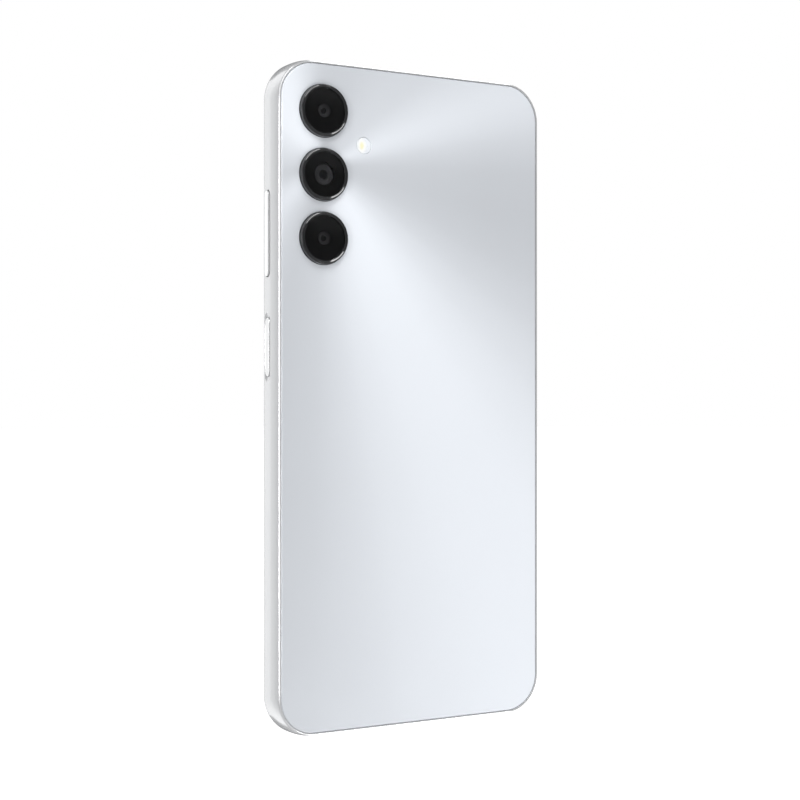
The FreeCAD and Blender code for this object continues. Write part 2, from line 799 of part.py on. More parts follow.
def make_keys():
    """The volume rocker, the power key and the switch parts behind them."""
    width = D["key_width"]
    flange = D["key_flange"]
    for label, z, length, cap_outer, flange_low, flange_high in (
        (
            "volume_key",
            D["volume_z"],
            D["volume_length"],
            HALF + D["key_proud"],
            INNER_X - 0.65,
            INNER_X - 0.35,
        ),
        ("power_key", D["power_z"], D["power_length"], HALF + D["power_proud"], INNER_X - 0.45, INNER_X - 0.1),
    ):
        body = new_body(label)
        pad(body, "YZ", [stadium(KEY_Y, z, width, length)], flange_low + 0.1, cap_outer)
        if label == "volume_key":
            dress(body, "Fillet", mm(0.35), at_level("X", cap_outer))
        else:
            dress(body, "Chamfer", mm(0.15), at_level("X", cap_outer))
            inlay = stadium(KEY_Y, z, width - 0.5, length - 0.5)
            pocket(body, "YZ", [inlay], cap_outer - 0.25, cap_outer + CLEAR_OF_SOLID)
        pad(body, "YZ", [stadium(KEY_Y, z, width + 2 * flange, length + 2 * flange)], flange_low, flange_high)
        reach = 7.5 if label == "volume_key" else 0.0
        nubs = [disc(KEY_Y, z + side * reach, mm(0.7)) for side in ((-1, 1) if reach else (0,))]
        nub_face = DOME_FACE_X + (0.3 if reach else 0.33)
        pad(body, "YZ", nubs, mm(nub_face), flange_low + 0.1)
        if label == "volume_key":
            # a round rib across the flange, on whose axis the key rocks
            pivot = disc(flange_low - 0.1, z, mm(0.3))
            pad(body, "XZ", [pivot], KEY_Y - 1.0, KEY_Y + 1.0)
        keep(body)
    sensor = new_body("fingerprint_sensor")
    power_face = HALF + D["power_proud"]
    length = D["power_length"] - 0.54
    pad(
        sensor, "YZ", [stadium(KEY_Y, D["power_z"], width - 0.54, length)], power_face - 0.25, power_face + 0.02
    )
    keep(sensor)

    switch_heights = [D["volume_z"] - 7.5, D["volume_z"] + 7.5, D["power_z"]]
    domes = []
    for n, z in enumerate(switch_heights):
        dome = new_body(f"dome_{n}")
        pad(dome, "YZ", [disc(KEY_Y, z, mm(1.0))], mm(KEY_FLEX_X + 0.15), mm(DOME_FACE_X))
        dress(dome, "Chamfer", mm(0.18), at_level("X", DOME_FACE_X))
        domes.append(dome)
    keep(group("key_domes", domes))
    low = D["power_z"] - 8.6
    high = D["volume_z"] + 11.6
    strip = block("flex_strip", (KEY_FLEX_X, KEY_FLEX_X + 0.15), (KEY_Y - 1.0, KEY_Y + 1.0), (low, high))
    riser = block(
        "flex_riser",
        (KEY_FLEX_X, KEY_FLEX_X + 0.15),
        (KEY_Y - 1.0, BOARD_BACK + 0.15),
        (high - 1.4, high + 1.4),
    )
    tail = block(
        "flex_tail", (31.8, KEY_FLEX_X + 0.15), (BOARD_BACK + 0.03, BOARD_BACK + 0.15), (high - 1.4, high + 1.4)
    )
    keep(joined("side_key_flex", [strip, riser, tail]))
    keep(
        block(
            "key_bracket", (KEY_FLEX_X - 0.5, KEY_FLEX_X), (KEY_Y - 1.3, KEY_Y + 1.2), (low - 0.8, high + 0.4)
        ),
    )


# ---------------------------------------------------------------- SIM tray


def make_sim_tray():
    """The pull-out tray with its seal, its reader on the board, and the push rod and lever that eject it."""
    y, z = D["tray_y"], D["tray_z"]
    head_inner = -HALF + 1.2
    head = new_body("sim_tray_head")
    outline = rounded(y, z, D["tray_head_width"], D["tray_head_length"], mm(0.45))
    pad(head, "YZ", [outline], -HALF + 0.06, head_inner)
    dress(head, "Fillet", mm(0.15), at_level("X", -HALF + 0.06))
    pocket(head, "YZ", [disc(y, eject_z(), mm(0.45))], -HALF - 0.5, head_inner + CLEAR_OF_SOLID)
    keep(head)

    half_thick = D["tray_thickness"] / 2
    carrier = new_body("sim_tray_carrier")
    low, high = y - half_thick, y + half_thick
    pad(
        carrier,
        "XZ",
        [span(head_inner, D["tray_inner_x"], z - D["tray_width"] / 2, z + D["tray_width"] / 2)],
        low,
        high,
    )
    inner = D["tray_inner_x"]
    # a memory card seat and two nano-SIM seats, as (length in X, width in Z), from the inner end outwards
    seat_end = inner - 0.95
    for length, width in ((15.0, 11.0), (8.8, 12.3), (8.8, 12.3)):
        seat_start = seat_end - length
        seat = rounded_span(seat_start, seat_end, z - width / 2, z + width / 2, mm(0.4))
        hole = rounded_span(seat_start + 0.7, seat_end - 0.7, z - width / 2 + 0.7, z + width / 2 - 0.7, mm(0.4))
        pocket(carrier, "XZ", [seat], low - CLEAR_OF_SOLID, high - 0.17)
        pocket(carrier, "XZ", [hole], low - CLEAR_OF_SOLID, high + CLEAR_OF_SOLID)
        seat_end = seat_start - 1.1
    keep(carrier)

    seal = new_body("sim_tray_seal")
    pad(seal, "YZ", [rounded(y, z, mm(1.5), mm(15.2), mm(0.5))], head_inner, head_inner + 0.45)
    neck = rect(y, z, D["tray_thickness"], D["tray_width"])
    pocket(seal, "YZ", [neck], head_inner - CLEAR_OF_SOLID, head_inner + 0.45 + CLEAR_OF_SOLID)
    keep(seal)

    socket = new_body("sim_socket")
    cage_x = (-INNER_X + 0.6, D["tray_inner_x"] + 0.25)
    cage_half = D["tray_width"] / 2 + 0.4
    cage = span(*cage_x, z - cage_half, z + cage_half)
    pad(socket, "XZ", [cage], CHASSIS_BACK + 0.1, BOARD_FRONT)
    bay = span(cage_x[0] - CLEAR_OF_SOLID, cage_x[1] - 0.15, z - cage_half + 0.2, z + cage_half - 0.2)
    pocket(socket, "XZ", [bay], CHASSIS_BACK + 0.25, BOARD_FRONT - 0.15)
    spring_windows = [rounded_span(x, x + 1.2, z - 4.5, z + 4.5, mm(0.3)) for x in (-32.5, -24.0, -12.0, -6.5)]
    pocket(socket, "XZ", spring_windows, CHASSIS_BACK, CHASSIS_BACK + 0.4)
    keep(socket)

    rod_half = 0.4
    keep(
        block(
            "sim_eject_rod",
            (-INNER_X + 0.7, inner + 0.1),
            (y - 0.3, y + 0.3),
            (eject_z() - rod_half, eject_z() + rod_half),
        ),
    )
    bar = block("lever_bar", (inner + 0.3, inner + 1.2), (y - 0.25, y + 0.25), (z - 6.5, eject_z() + 0.6))
    pivot = rod("lever_pivot", "Y", (inner + 0.75, z + 1.0), mm(0.35), CHASSIS_BACK + 0.1, BOARD_FRONT)
    keep(joined("sim_eject_lever", [bar, pivot]))


# ---------------------------------------------------------------- boards, covers and battery


def make_main_board():
    """The circuit board round the cameras, its chips under two shield cans, and the connectors."""
    board = slab(
        "main_board",
        rounded_span(-INNER_X + 0.8, INNER_X - 0.8, 112.4, INNER_TOP - 1.5, mm(7.3)),
        BOARD_FRONT,
        BOARD_BACK,
    )
    x = D["camera_x"]
    cut_outs = [
        span(x - 5.1, x + 5.1, 119.8, 159.3),
        span(-3.7, 16.6, 157.5, INNER_TOP),
        span(INNER_X - 2.3, INNER_X, 111.5, 138.2),
    ]
    pocket(board, "XZ", cut_outs, BOARD_FRONT - CLEAR_OF_SOLID, BOARD_BACK + CLEAR_OF_SOLID)
    holes = [disc(sx, sz, mm(1.0)) for sx, sz in UPPER_SCREWS]
    pocket(board, "XZ", holes, BOARD_FRONT - CLEAR_OF_SOLID, BOARD_BACK + CLEAR_OF_SOLID)
    keep(board)

    skin = 0.15
    shields = []
    chips = []
    cans = (
        ("rear_shield", (-32.0, 8.0), (120.0, 156.5), BOARD_BACK, BOARD_BACK + 1.2, 1),
        ("front_shield", (-32.0, 17.0), (138.6, 156.0), CHASSIS_BACK + 0.15, BOARD_FRONT, -1),
    )
    for label, can_x, can_z, low, high, side in cans:
        can = slab(label, rounded_span(*can_x, *can_z, mm(1.0)), low, high)
        bay = rounded_span(can_x[0] + skin, can_x[1] - skin, can_z[0] + skin, can_z[1] - skin, mm(0.85))
        if side > 0:
            pocket(can, "XZ", [bay], low - CLEAR_OF_SOLID, high - skin)
        else:
            pocket(can, "XZ", [bay], low + skin, high + CLEAR_OF_SOLID)
        shields.append(can)
    keep(group("shield_cans", shields))
    # processor, memory and power controller behind the board; storage and radio in front of it
    for n, (cx, cz, wide, tall) in enumerate(
        ((-8.0, 140.0, 12.4, 12.4), (-22.5, 140.5, 11.5, 11.0), (-8.0, 126.5, 7.0, 7.0)),
    ):
        chips.append(
            block(
                f"rear_chip_{n}",
                (cx - wide / 2, cx + wide / 2),
                (BOARD_BACK, BOARD_BACK + 0.85),
                (cz - tall / 2, cz + tall / 2),
            ),
        )
    for n, (cx, cz, wide, tall) in enumerate(
        ((6.0, 147.0, 11.5, 13.0), (-14.0, 147.0, 9.0, 8.0), (-26.0, 147.0, 6.0, 6.5)),
    ):
        chips.append(
            block(
                f"front_chip_{n}",
                (cx - wide / 2, cx + wide / 2),
                (BOARD_FRONT - 0.85, BOARD_FRONT),
                (cz - tall / 2, cz + tall / 2),
            ),
        )
    keep(group("board_chips", chips))

    places = (
        (-14.0, 117.2, 10.0, 2.6),
        (4.0, 114.4, 7.0, 2.4),
        (15.5, 152.5, 6.0, 2.4),
        (15.5, 136.0, 6.0, 2.4),
        (15.5, 128.0, 6.0, 2.4),
        (-14.0, 20.3, 10.0, 2.6),
    )
    plugs = [
        block(
            f"connector_{n}",
            (cx - wide / 2, cx + wide / 2),
            (BOARD_BACK, BOARD_BACK + 0.8),
            (cz - tall / 2, cz + tall / 2),
        )
        for n, (cx, cz, wide, tall) in enumerate(places)
    ]
    keep(group("board_connectors", plugs))


def make_cover(label, outline, screws, openings):
    """A plastic cover that presses a board on to the chassis bosses with a post round each screw."""
    cover = slab(label, outline, COVER_FRONT, COVER_BACK)
    pocket(cover, "XZ", openings, COVER_FRONT - CLEAR_OF_SOLID, COVER_BACK + CLEAR_OF_SOLID)
    pad(cover, "XZ", [disc(x, z, D["boss_radius"]) for x, z in screws], BOARD_BACK, COVER_FRONT + 0.4)
    seat = COVER_BACK - 0.5
    pocket(
        cover,
        "XZ",
        [disc(x, z, D["screw_head_radius"] + 0.2) for x, z in screws],
        seat,
        COVER_BACK + CLEAR_OF_SOLID,
    )
    pocket(
        cover,
        "XZ",
        [disc(x, z, D["screw_radius"] + 0.12) for x, z in screws],
        BOARD_BACK - CLEAR_OF_SOLID,
        seat + 0.1,
    )
    return keep(cover)


def make_covers():
    x = D["camera_x"]
    upper = rounded_span(-INNER_X + 1.0, INNER_X - 1.0, 112.6, INNER_TOP - 1.7, mm(7.1))
    make_cover(
        "upper_cover",
        upper,
        UPPER_SCREWS,
        [span(x - 5.2, x + 5.2, 119.6, 159.4), disc(D["flash_x"], D["flash_z"], mm(2.9))],
    )
    lower = [
        (-INNER_X + 1.0, 12.0),
        (-28.0, WALL + 0.4),
        (8.8, WALL + 0.4),
        (8.8, 24.8),
        (-INNER_X + 1.0, 24.8),
    ]
    make_cover(
        "lower_cover",
        lower,
        LOWER_SCREWS,
        [span(D["jack_x"] - 2.8, D["jack_x"] + 2.8, WALL - 0.6, WALL + 14.8)],
    )


def make_screws():
    """Small flat-headed machine screws: long ones in the covers, short ones in the loudspeaker."""
    screws = []
    lengths = [(x, z, COVER_BACK - 0.5) for x, z in [*UPPER_SCREWS, *LOWER_SCREWS]]
    lengths += [(x, z, BOARD_FRONT + 1.0) for x, z in SPEAKER_SCREWS]
    for n, (x, z, seat) in enumerate(lengths):
        shank = rod(f"shank_{n}", "Y", (x, z), D["screw_radius"], CHASSIS_BACK + 0.2, seat + 0.1)
        head = rod(f"head_{n}", "Y", (x, z), D["screw_head_radius"], seat, seat + 0.45)
        slot = rod(f"drive_{n}", "Y", (x, z), mm(0.5), seat + 0.2, seat + 0.6)
        screws.append(without(f"screw_{n}", joined(f"screw_blank_{n}", [shank, head]), [slot]))
    keep(group("cover_screws", screws))


def make_battery():
    """A pouch cell with its protection board folded along the top edge."""
    low, high = D["battery_bottom"], D["battery_top"]
    cell = slab(
        "battery", rounded_span(mm(-34.8), mm(32.2), low, high, mm(2.0)), CHASSIS_BACK + 0.15, COVER_BACK + 0.05
    )
    dress(cell, "Fillet", mm(0.9), lambda edge: abs(edge.BoundBox.YLength) < 1e-6)
    keep(cell)
    tapes = [
        block(
            f"battery_tape_{n}",
            (cx - 7.0, cx + 7.0),
            (CHASSIS_BACK, CHASSIS_BACK + 0.15),
            (low + 3.0, high - 3.0),
        )
        for n, cx in enumerate((-20.0, 18.0))
    ]
    keep(group("battery_adhesive", tapes))
    guard = block("guard_board", (-22.0, 18.0), (BOARD_BACK - 0.6, BOARD_BACK + 0.6), (high, high + 2.2))
    lead = block("guard_lead", (1.0, 7.0), (BOARD_BACK + 0.85, BOARD_BACK + 0.97), (high + 1.0, high + 6.0))
    riser = block("guard_riser", (1.0, 7.0), (BOARD_BACK + 0.5, BOARD_BACK + 0.97), (high + 1.0, high + 1.2))
    keep(joined("battery_guard_board", [guard, riser, lead]))


def make_sub_board():
    """The charging board along the bottom edge, L-shaped round the jack and the vibration motor."""
    outline = [
        (-17.6, WALL + 0.3),
        (-4.8, WALL + 0.3),
        (-4.8, 8.6),
        (4.8, 8.6),
        (4.8, WALL + 0.3),
        (8.6, WALL + 0.3),
        (8.6, 24.6),
        (-INNER_X + 0.8, 24.6),
        (-INNER_X + 0.8, 17.8),
        (-17.6, 17.8),
    ]
    board = slab("sub_board", outline, BOARD_FRONT, BOARD_BACK)
    holes = [disc(x, z, mm(1.0)) for x, z in LOWER_SCREWS]
    pocket(board, "XZ", holes, BOARD_FRONT - CLEAR_OF_SOLID, BOARD_BACK + CLEAR_OF_SOLID)
    keep(board)
    bottom = block(
        "bottom_microphone",
        (BOTTOM_MICROPHONE_X - 1.4, BOTTOM_MICROPHONE_X + 1.4),
        (BOARD_FRONT - 1.0, BOARD_FRONT),
        (WALL + 0.4, WALL + 4.0),
    )
    top = block(
        "top_microphone",
        (TOP_MICROPHONE_X - 1.4, TOP_MICROPHONE_X + 1.4),
        (BOARD_FRONT - 1.0, BOARD_FRONT),
        (INNER_TOP - 5.4, INNER_TOP - 1.8),
    )
    keep(group("microphones", [bottom, top]))


def make_links():
    """The flat cable that joins the two boards over the battery, and the antenna's cable beside it."""
    thick = 0.12
    over = COVER_BACK + 0.1
    under = BOARD_BACK + 0.8
    low, high = D["battery_bottom"], D["battery_top"]
    # seen from the side: from the lower connector, up over the battery and down to the upper connector
    strip = [
        (under, 19.0),
        (under + thick, 19.0),
        (under + thick, low - 1.2),
        (over + thick, low - 1.2),
        (over + thick, high + 2.3 + thick),
        (under + thick, high + 2.3 + thick),
        (under + thick, 118.5),
        (under, 118.5),
        (under, high + 2.3),
        (over, high + 2.3),
        (over, low - 1.2 + thick),
        (under, low - 1.2 + thick),
    ]
    flex = new_body("interconnect_flex")
    pad(flex, "YZ", [strip], mm(-19.0), mm(-9.0))
    keep(flex)

    corners = [(2.0, 23.0), (5.0, 23.0), (9.5, 25.9), (33.4, 25.9), (33.4, 113.5), (27.9, 113.5)]
    keep(group("antenna_cable", [coaxial_cable(corners, 3.5, 0.35, 1.3), *cable_plugs(corners)]))


def coaxial_cable(corners, bend, radius, y):
    """A round cable through corner points in a plane across Y, with the same bend at each corner."""
    points = [V(x, y, z) for x, z in corners]
    edges = []
    start = points[0]
    for before, corner, after in zip(points, points[1:], points[2:]):
        into = (corner - before).normalize()
        out = (after - corner).normalize()
        half_turn = into.getAngle(out) / 2
        reach = bend * math.tan(half_turn)
        first = corner - into * reach
        last = corner + out * reach
        middle = corner + (out - into).normalize() * bend * (1 / math.cos(half_turn) - 1)
        edges.append(Part.LineSegment(start, first).toShape())
        edges.append(Part.Arc(first, middle, last).toShape())
        start = last
    edges.append(Part.LineSegment(start, points[-1]).toShape())
    path = Part.Wire(edges)
    section = Part.Wire(Part.makeCircle(radius, points[0], (points[1] - points[0]).normalize()))
    tube = path.makePipeShell([section], True, True)
    expected = math.pi * radius**2 * path.Length
    if abs(tube.Volume - expected) > 0.01 * expected:
        sys.exit(f"the cable's volume is {tube.Volume:.3f} and not {expected:.3f} mm3")
    cable = doc.addObject("Part::Feature", "coaxial_cable")
    cable.Shape = tube
    return cable


def cable_plugs(corners):
    """Snap-on plugs at both ends of the coaxial cable."""
    plugs = []
    for n, ((x, z), side) in enumerate(zip((corners[0], corners[-1]), (-1, -1))):
        cx = x + side
        plugs.append(rod(f"cable_plug_{n}", "Y", (cx, z), mm(1.0), BOARD_BACK, BOARD_BACK + 0.75))
    return plugs


# ---------------------------------------------------------------- ports, motor and loudspeaker


def make_ports():
    """The USB receptacle and the headphone socket."""
    zero = mm(0.0)
    shell = new_body("usb_shell")
    mouth = mm(0.9)
    end = mm(8.3)
    pad(shell, "XY", [stadium(zero, PORT_Y, D["usb_width"], D["usb_height"])], mouth, end)
    pocket(
        shell,
        "XY",
        [stadium(zero, PORT_Y, D["usb_width"] - 0.6, D["usb_height"] - 0.6)],
        mouth - CLEAR_OF_SOLID,
        end - 0.3,
    )
    keep(shell)
    tongue_half = 0.35
    keep(block("usb_tongue", (-3.35, 3.35), (PORT_Y - tongue_half, PORT_Y + tongue_half), (1.7, end - 0.3)))
    contacts = []
    for side in (-1, 1):
        face = PORT_Y + side * tongue_half
        levels = (face, face + 0.04) if side > 0 else (face - 0.04, face)
        for n in range(USB_CONTACTS_A_SIDE):
            cx = (n - (USB_CONTACTS_A_SIDE - 1) / 2) * 0.5
            label = f"contact_{'back' if side > 0 else 'front'}_{n}"
            contacts.append(block(label, (cx - 0.14, cx + 0.14), levels, (2.1, end - 1.6)))
    keep(group("usb_contacts", contacts))

    jack = new_body("jack_socket")
    x = D["jack_x"]
    start = WALL + 0.1
    depth = D["jack_depth"]
    pad(jack, "XY", [rounded(x, PORT_Y, mm(5.0), mm(4.8), mm(0.8))], start, start + depth + 0.8)
    pocket(jack, "XY", [disc(x, PORT_Y, D["jack_bore_radius"])], start - CLEAR_OF_SOLID, start + depth)
    keep(jack)


def make_motor():
    """A coin vibration motor: base and shaft, case, and the eccentric rotor that spins on the shaft."""
    x, z = -30.6, 10.2
    base_back = CHASSIS_BACK + 0.2
    case_back = base_back + 2.5
    base = rod("motor_base_plate", "Y", (x, z), mm(5.0), CHASSIS_BACK, base_back)
    shaft = rod("motor_shaft", "Y", (x, z), mm(0.4), base_back - 0.1, case_back - 0.2)
    keep(joined("motor_base", [base, shaft]))
    case = slab("motor_case", disc(x, z, mm(5.0)), base_back, case_back)
    pocket(case, "XZ", [disc(x, z, mm(4.75))], base_back - CLEAR_OF_SOLID, case_back - 0.2)
    keep(case)
    rotor_low, rotor_high = base_back + 0.2, case_back - 0.4
    rotor = slab("motor_rotor", disc(x, z, mm(1.3)), rotor_low, rotor_high)
    weight = [(x - 4.5, z), (x, z - 4.5, 4.5), (x + 4.5, z)]
    weight[0] = (x - 4.5, z, 4.5)
    pad(rotor, "XZ", [weight], rotor_low, rotor_high)
    pocket(rotor, "XZ", [disc(x, z, mm(0.43))], rotor_low - CLEAR_OF_SOLID, rotor_high + CLEAR_OF_SOLID)
    keep(rotor)


def make_loudspeaker():
    """The sealed loudspeaker box, with its driver's magnet, basket and moving diaphragm inside."""
    x, z = D["speaker_x"], mm(13.4)
    low_y, high_y = CHASSIS_BACK + 0.1, COVER_BACK
    left, right = mm(9.4), INNER_X - 0.6
    bottom, top = WALL + 0.3, mm(24.7)
    corner = 7.4
    outline = [
        (left, bottom),
        (right - corner, bottom, mm(corner)),
        (right, bottom + corner),
        (right, top),
        (left, top),
    ]
    box = slab("speaker_enclosure", outline, low_y, high_y)
    skin = 0.6
    bay = rounded_span(left + skin, right - skin, bottom + skin, mm(19.0), mm(6.8))
    pocket(box, "XZ", [bay], low_y + skin, high_y - skin)
    slot_half = (SPEAKER_SLOTS - 1) / 2 * D["speaker_slot_pitch"] + 1.2
    pocket(
        box,
        "XY",
        [span(x - slot_half, x + slot_half, PORT_Y - 0.65, PORT_Y + 0.65)],
        bottom - CLEAR_OF_SOLID,
        bottom + skin + 0.2,
    )
    ear = BOARD_FRONT
    pocket(
        box,
        "XZ",
        [disc(sx, sz, D["boss_radius"] + 0.2) for sx, sz in SPEAKER_SCREWS],
        low_y - CLEAR_OF_SOLID,
        ear,
    )
    pocket(
        box,
        "XZ",
        [disc(sx, sz, D["boss_radius"] + 0.2) for sx, sz in SPEAKER_SCREWS],
        ear + 1.0,
        high_y + CLEAR_OF_SOLID,
    )
    pocket(
        box,
        "XZ",
        [disc(sx, sz, D["screw_radius"] + 0.12) for sx, sz in SPEAKER_SCREWS],
        ear - CLEAR_OF_SOLID,
        ear + 1.2,
    )
    keep(box)

    driver_back = high_y - skin
    z = mm(11.6)
    basket = slab("speaker_basket", rounded(x, z, mm(16.4), mm(12.4), mm(2.0)), mm(-0.35), driver_back)
    pocket(basket, "XZ", [rounded(x, z, mm(14.9), mm(10.9), mm(1.4))], mm(-0.9), driver_back - 0.3)
    keep(basket)
    keep(slab("speaker_magnet", rounded(x, z, mm(9.4), mm(6.4), mm(0.6)), mm(0.55), driver_back - 0.3))
    cone = slab("speaker_diaphragm", rounded(x, z, mm(14.5), mm(10.5), mm(1.2)), mm(0.02), mm(0.17))
    coil = rounded(x, z, mm(10.9), mm(7.9), mm(1.2))
    hollow = rounded(x, z, mm(10.2), mm(7.2), mm(0.85))
    pad(cone, "XZ", [coil, hollow], mm(0.1), mm(1.1))
    keep(cone)
    mesh_half = slot_half + 0.3
    keep(
        block(
            "speaker_mesh",
            (x - mesh_half, x + mesh_half),
            (PORT_Y - 1.0, PORT_Y + 1.0),
            (WALL + 0.1, WALL + 0.25),
        ),
    )


def make_receiver():
    """The earpiece, beside the front camera, under the sound channel."""
    z_low, z_high = 158.1, INNER_TOP - 1.6
    body = slab(
        "earpiece_receiver",
        rounded_span(mm(4.0), mm(16.2), mm(z_low), z_high, mm(1.0)),
        CHASSIS_BACK,
        BOARD_FRONT + 0.8,
    )
    pocket(
        body,
        "XZ",
        [stadium(mm(10.1), (z_low + z_high) / 2, mm(8.0), mm(2.6))],
        BOARD_FRONT + 0.5,
        BOARD_BACK + 0.6,
    )
    keep(body)


def write_parts():
    """Checks every object, then writes each sub-part under its label."""
    doc.recompute()
    bad = [o.Label for o in doc.Objects if "Invalid" in o.State or "Error" in o.State]
    if bad:
        sys.exit(f"failed objects: {bad}")
    for piece in exported:
        shape = piece.Shape
        if shape.isNull() or not shape.isValid() or not shape.Solids:
            sys.exit(f"{piece.Label} has a bad shape")
    os.makedirs("parts", exist_ok=True)
    for piece in exported:
        piece.Shape.exportStep(f"parts/{piece.Label}.step")
    print(f"{len(exported)} sub-parts, {sum(len(p.Shape.Solids) for p in exported)} solids")


make_side_frame()
make_back_panel()
make_cover_glass()
make_ring_tape("back_panel_adhesive", D["back_ledge_y"], PANEL_FRONT)
make_display()
make_chassis()
make_camera_rings()
make_flash()
make_camera_modules()
make_front_camera()
make_keys()
make_sim_tray()
make_main_board()
make_covers()
make_battery()
make_sub_board()
make_links()
make_ports()
make_motor()
make_loudspeaker()
make_receiver()
make_screws()
write_parts()
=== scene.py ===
"""A silver smartphone seen from behind, built round its CAD frame. Lengths are in millimetres until placed."""

import json
import math

import bmesh
import bpy
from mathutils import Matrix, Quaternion, Vector

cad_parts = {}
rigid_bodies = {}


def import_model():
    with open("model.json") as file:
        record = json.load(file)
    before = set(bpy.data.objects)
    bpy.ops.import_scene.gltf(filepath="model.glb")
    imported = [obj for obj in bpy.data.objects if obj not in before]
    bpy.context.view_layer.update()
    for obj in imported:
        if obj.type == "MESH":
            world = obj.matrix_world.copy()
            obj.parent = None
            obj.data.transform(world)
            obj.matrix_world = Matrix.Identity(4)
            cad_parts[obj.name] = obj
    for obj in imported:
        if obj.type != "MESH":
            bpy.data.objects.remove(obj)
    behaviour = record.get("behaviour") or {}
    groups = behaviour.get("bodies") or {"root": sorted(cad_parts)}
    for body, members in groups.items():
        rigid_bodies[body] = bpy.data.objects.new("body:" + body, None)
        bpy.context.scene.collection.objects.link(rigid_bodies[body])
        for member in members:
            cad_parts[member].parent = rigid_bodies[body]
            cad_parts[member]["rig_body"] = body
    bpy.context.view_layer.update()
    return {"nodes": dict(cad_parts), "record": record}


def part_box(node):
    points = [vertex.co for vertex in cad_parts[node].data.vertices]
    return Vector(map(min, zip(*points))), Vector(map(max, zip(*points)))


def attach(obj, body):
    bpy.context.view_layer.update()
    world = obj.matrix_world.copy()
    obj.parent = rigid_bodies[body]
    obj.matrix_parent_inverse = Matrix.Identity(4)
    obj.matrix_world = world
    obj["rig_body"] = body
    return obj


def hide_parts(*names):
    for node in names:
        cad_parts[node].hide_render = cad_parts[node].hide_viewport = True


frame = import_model()
NODES = frame["nodes"]
MM = 0.001

# ---------------------------------------------------------------- sizes


def low(node):
    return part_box(node)[0] / MM


def high(node):
    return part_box(node)[1] / MM


def middle(node):
    return (low(node) + high(node)) / 2


HALF = high("side_frame").x
HEIGHT = high("side_frame").z
BACK_Y = high("back_panel").y
FRONT_Y = low("cover_glass").y
CORNER, CORNER_STEPS = 10.2, 40
WALL = 2.3

# The side is flat between the two band heights. Its back edge curves in by an inset and stops a drop short of
# the panel's face, where a bevel runs up to the lip. Its front edge follows a wider arc.
BAND_FRONT_Y, BAND_BACK_Y = -2.6, -0.8
EDGE_INSET, EDGE_DROP, LIP_INSET = 0.55, 0.27, 0.79
FRONT_SWEEP = 1.945
# The wall stands between two ledges. The panel and the glass lie in rabbets outside them.
GLASS_LEDGE_Y, PANEL_LEDGE_Y = -3.7, 3.6
PANEL_BACK_Y = 3.7
GLASS_RABBET, PANEL_RABBET = 1.15, 1.10
OUTSIDE, INSIDE = HALF + 1, HALF - WALL - 0.5

PORT_Y = 0.3
USB_WIDTH, USB_HEIGHT = 9.2, 3.4
JACK_RADIUS = 1.8
MICROPHONE_X, MICROPHONE_RADIUS = -10.5, 0.55
SOUND_SLOTS, SOUND_PITCH, SOUND_WIDTH, SOUND_HEIGHT = 5, 3.3, 2.4, 1.25
SLIT_HALF, SLIT_DEPTH = 5.6, 1.95
HEAD_HALF_WIDTH, HEAD_HALF_LENGTH = 1.025, 8.9
NECK_HALF_WIDTH, NECK_HALF_LENGTH = 0.725, 7.1
EJECT_REACH, EJECT_RADIUS = 7.85, 0.6

KEY_Y = middle("fingerprint_sensor").y
KEY_WIDTH, KEY_GAP = 2.2, 0.12
DISH_HALF_LENGTH, DISH_HALF_WIDTH, DISH_DEPTH = 8.65, 1.5, 0.60
SENSOR_MARGIN = 0.27
FLANGE, NUB_RADIUS, RIB_RADIUS = 0.45, 0.7, 0.3
# A key's rounding is how far it drops and how far it comes in. Its flange lies between two places along X.
KEYS = {
    "volume_key": {
        "piece": "volume_rocker_cap", "length": 21.1, "slot": 21.56, "rounding": (0.07, 0.75),
        "flange": (35.95, 36.25), "nubs": (-7.5, 7.5), "nub_gap": 0.3,
    },
    "power_key": {
        "piece": "power_cap", "length": 14.4, "slot": 14.64, "rounding": (0.09, 0.10),
        "flange": (36.15, 36.5), "nubs": (0,), "nub_gap": 0.33,
    },
}

RING_X = middle("camera_ring_top").x
RING_Z = {name: middle(f"camera_ring_{name}").z for name in ("top", "middle", "bottom")}
RIM_Y = high("camera_ring_top").y
RING_OUT, RING_IN, RING_PEAK, RING_FLANGE = 6.55, 5.65, 6.14, 0.65
SEAT_Y = RIM_Y - 0.75
WINDOW_OPENINGS = {"top": 1.72, "middle": 2.75, "bottom": 1.72}
FLASH_X, FLASH_Z = middle("flash_lens").x, middle("flash_lens").z
FLASH_RADIUS, FLASH_HOLE, RIDGES, RIDGED_RADIUS = 2.05, 2.12, 9, 1.75

SCREEN_HALF, SCREEN_LOW, SCREEN_HIGH, SCREEN_CORNER = 34.9, 8.0, 163.6, 6.5
NOTCH_RADIUS, NOTCH_SHOULDER = 3.8, 1.2
FRONT_CAMERA_Z = middle("front_camera").z

# ---------------------------------------------------------------- mesh building


def piece(name, verts, faces, sharp=32.0):
    """A mesh object from points in millimetres and faces, smooth below the sharp angle."""
    mesh = bpy.data.meshes.new(name)
    mesh.from_pydata([Vector(v) * MM for v in verts], [], faces)
    work = bmesh.new()
    work.from_mesh(mesh)
    bmesh.ops.recalc_face_normals(work, faces=work.faces)
    work.to_mesh(mesh)
    work.free()
    made = bpy.data.objects.new(name, mesh)
    bpy.context.scene.collection.objects.link(made)
    smooth(made, sharp)
    return made


def smooth(made, sharp):
    made.data.shade_smooth()
    made.data.set_sharp_from_angle(angle=math.radians(sharp))


def strips(rings, closed=False):
    """Faces between rings of equal length, given as lists of point numbers."""
    faces = []
    pairs = list(zip(rings, rings[1:])) + ([(rings[-1], rings[0])] if closed else [])
    for a, b in pairs:
        for i in range(len(a)):
            j = (i + 1) % len(a)
            faces.append((a[i], a[j], b[j], b[i]))
    return faces


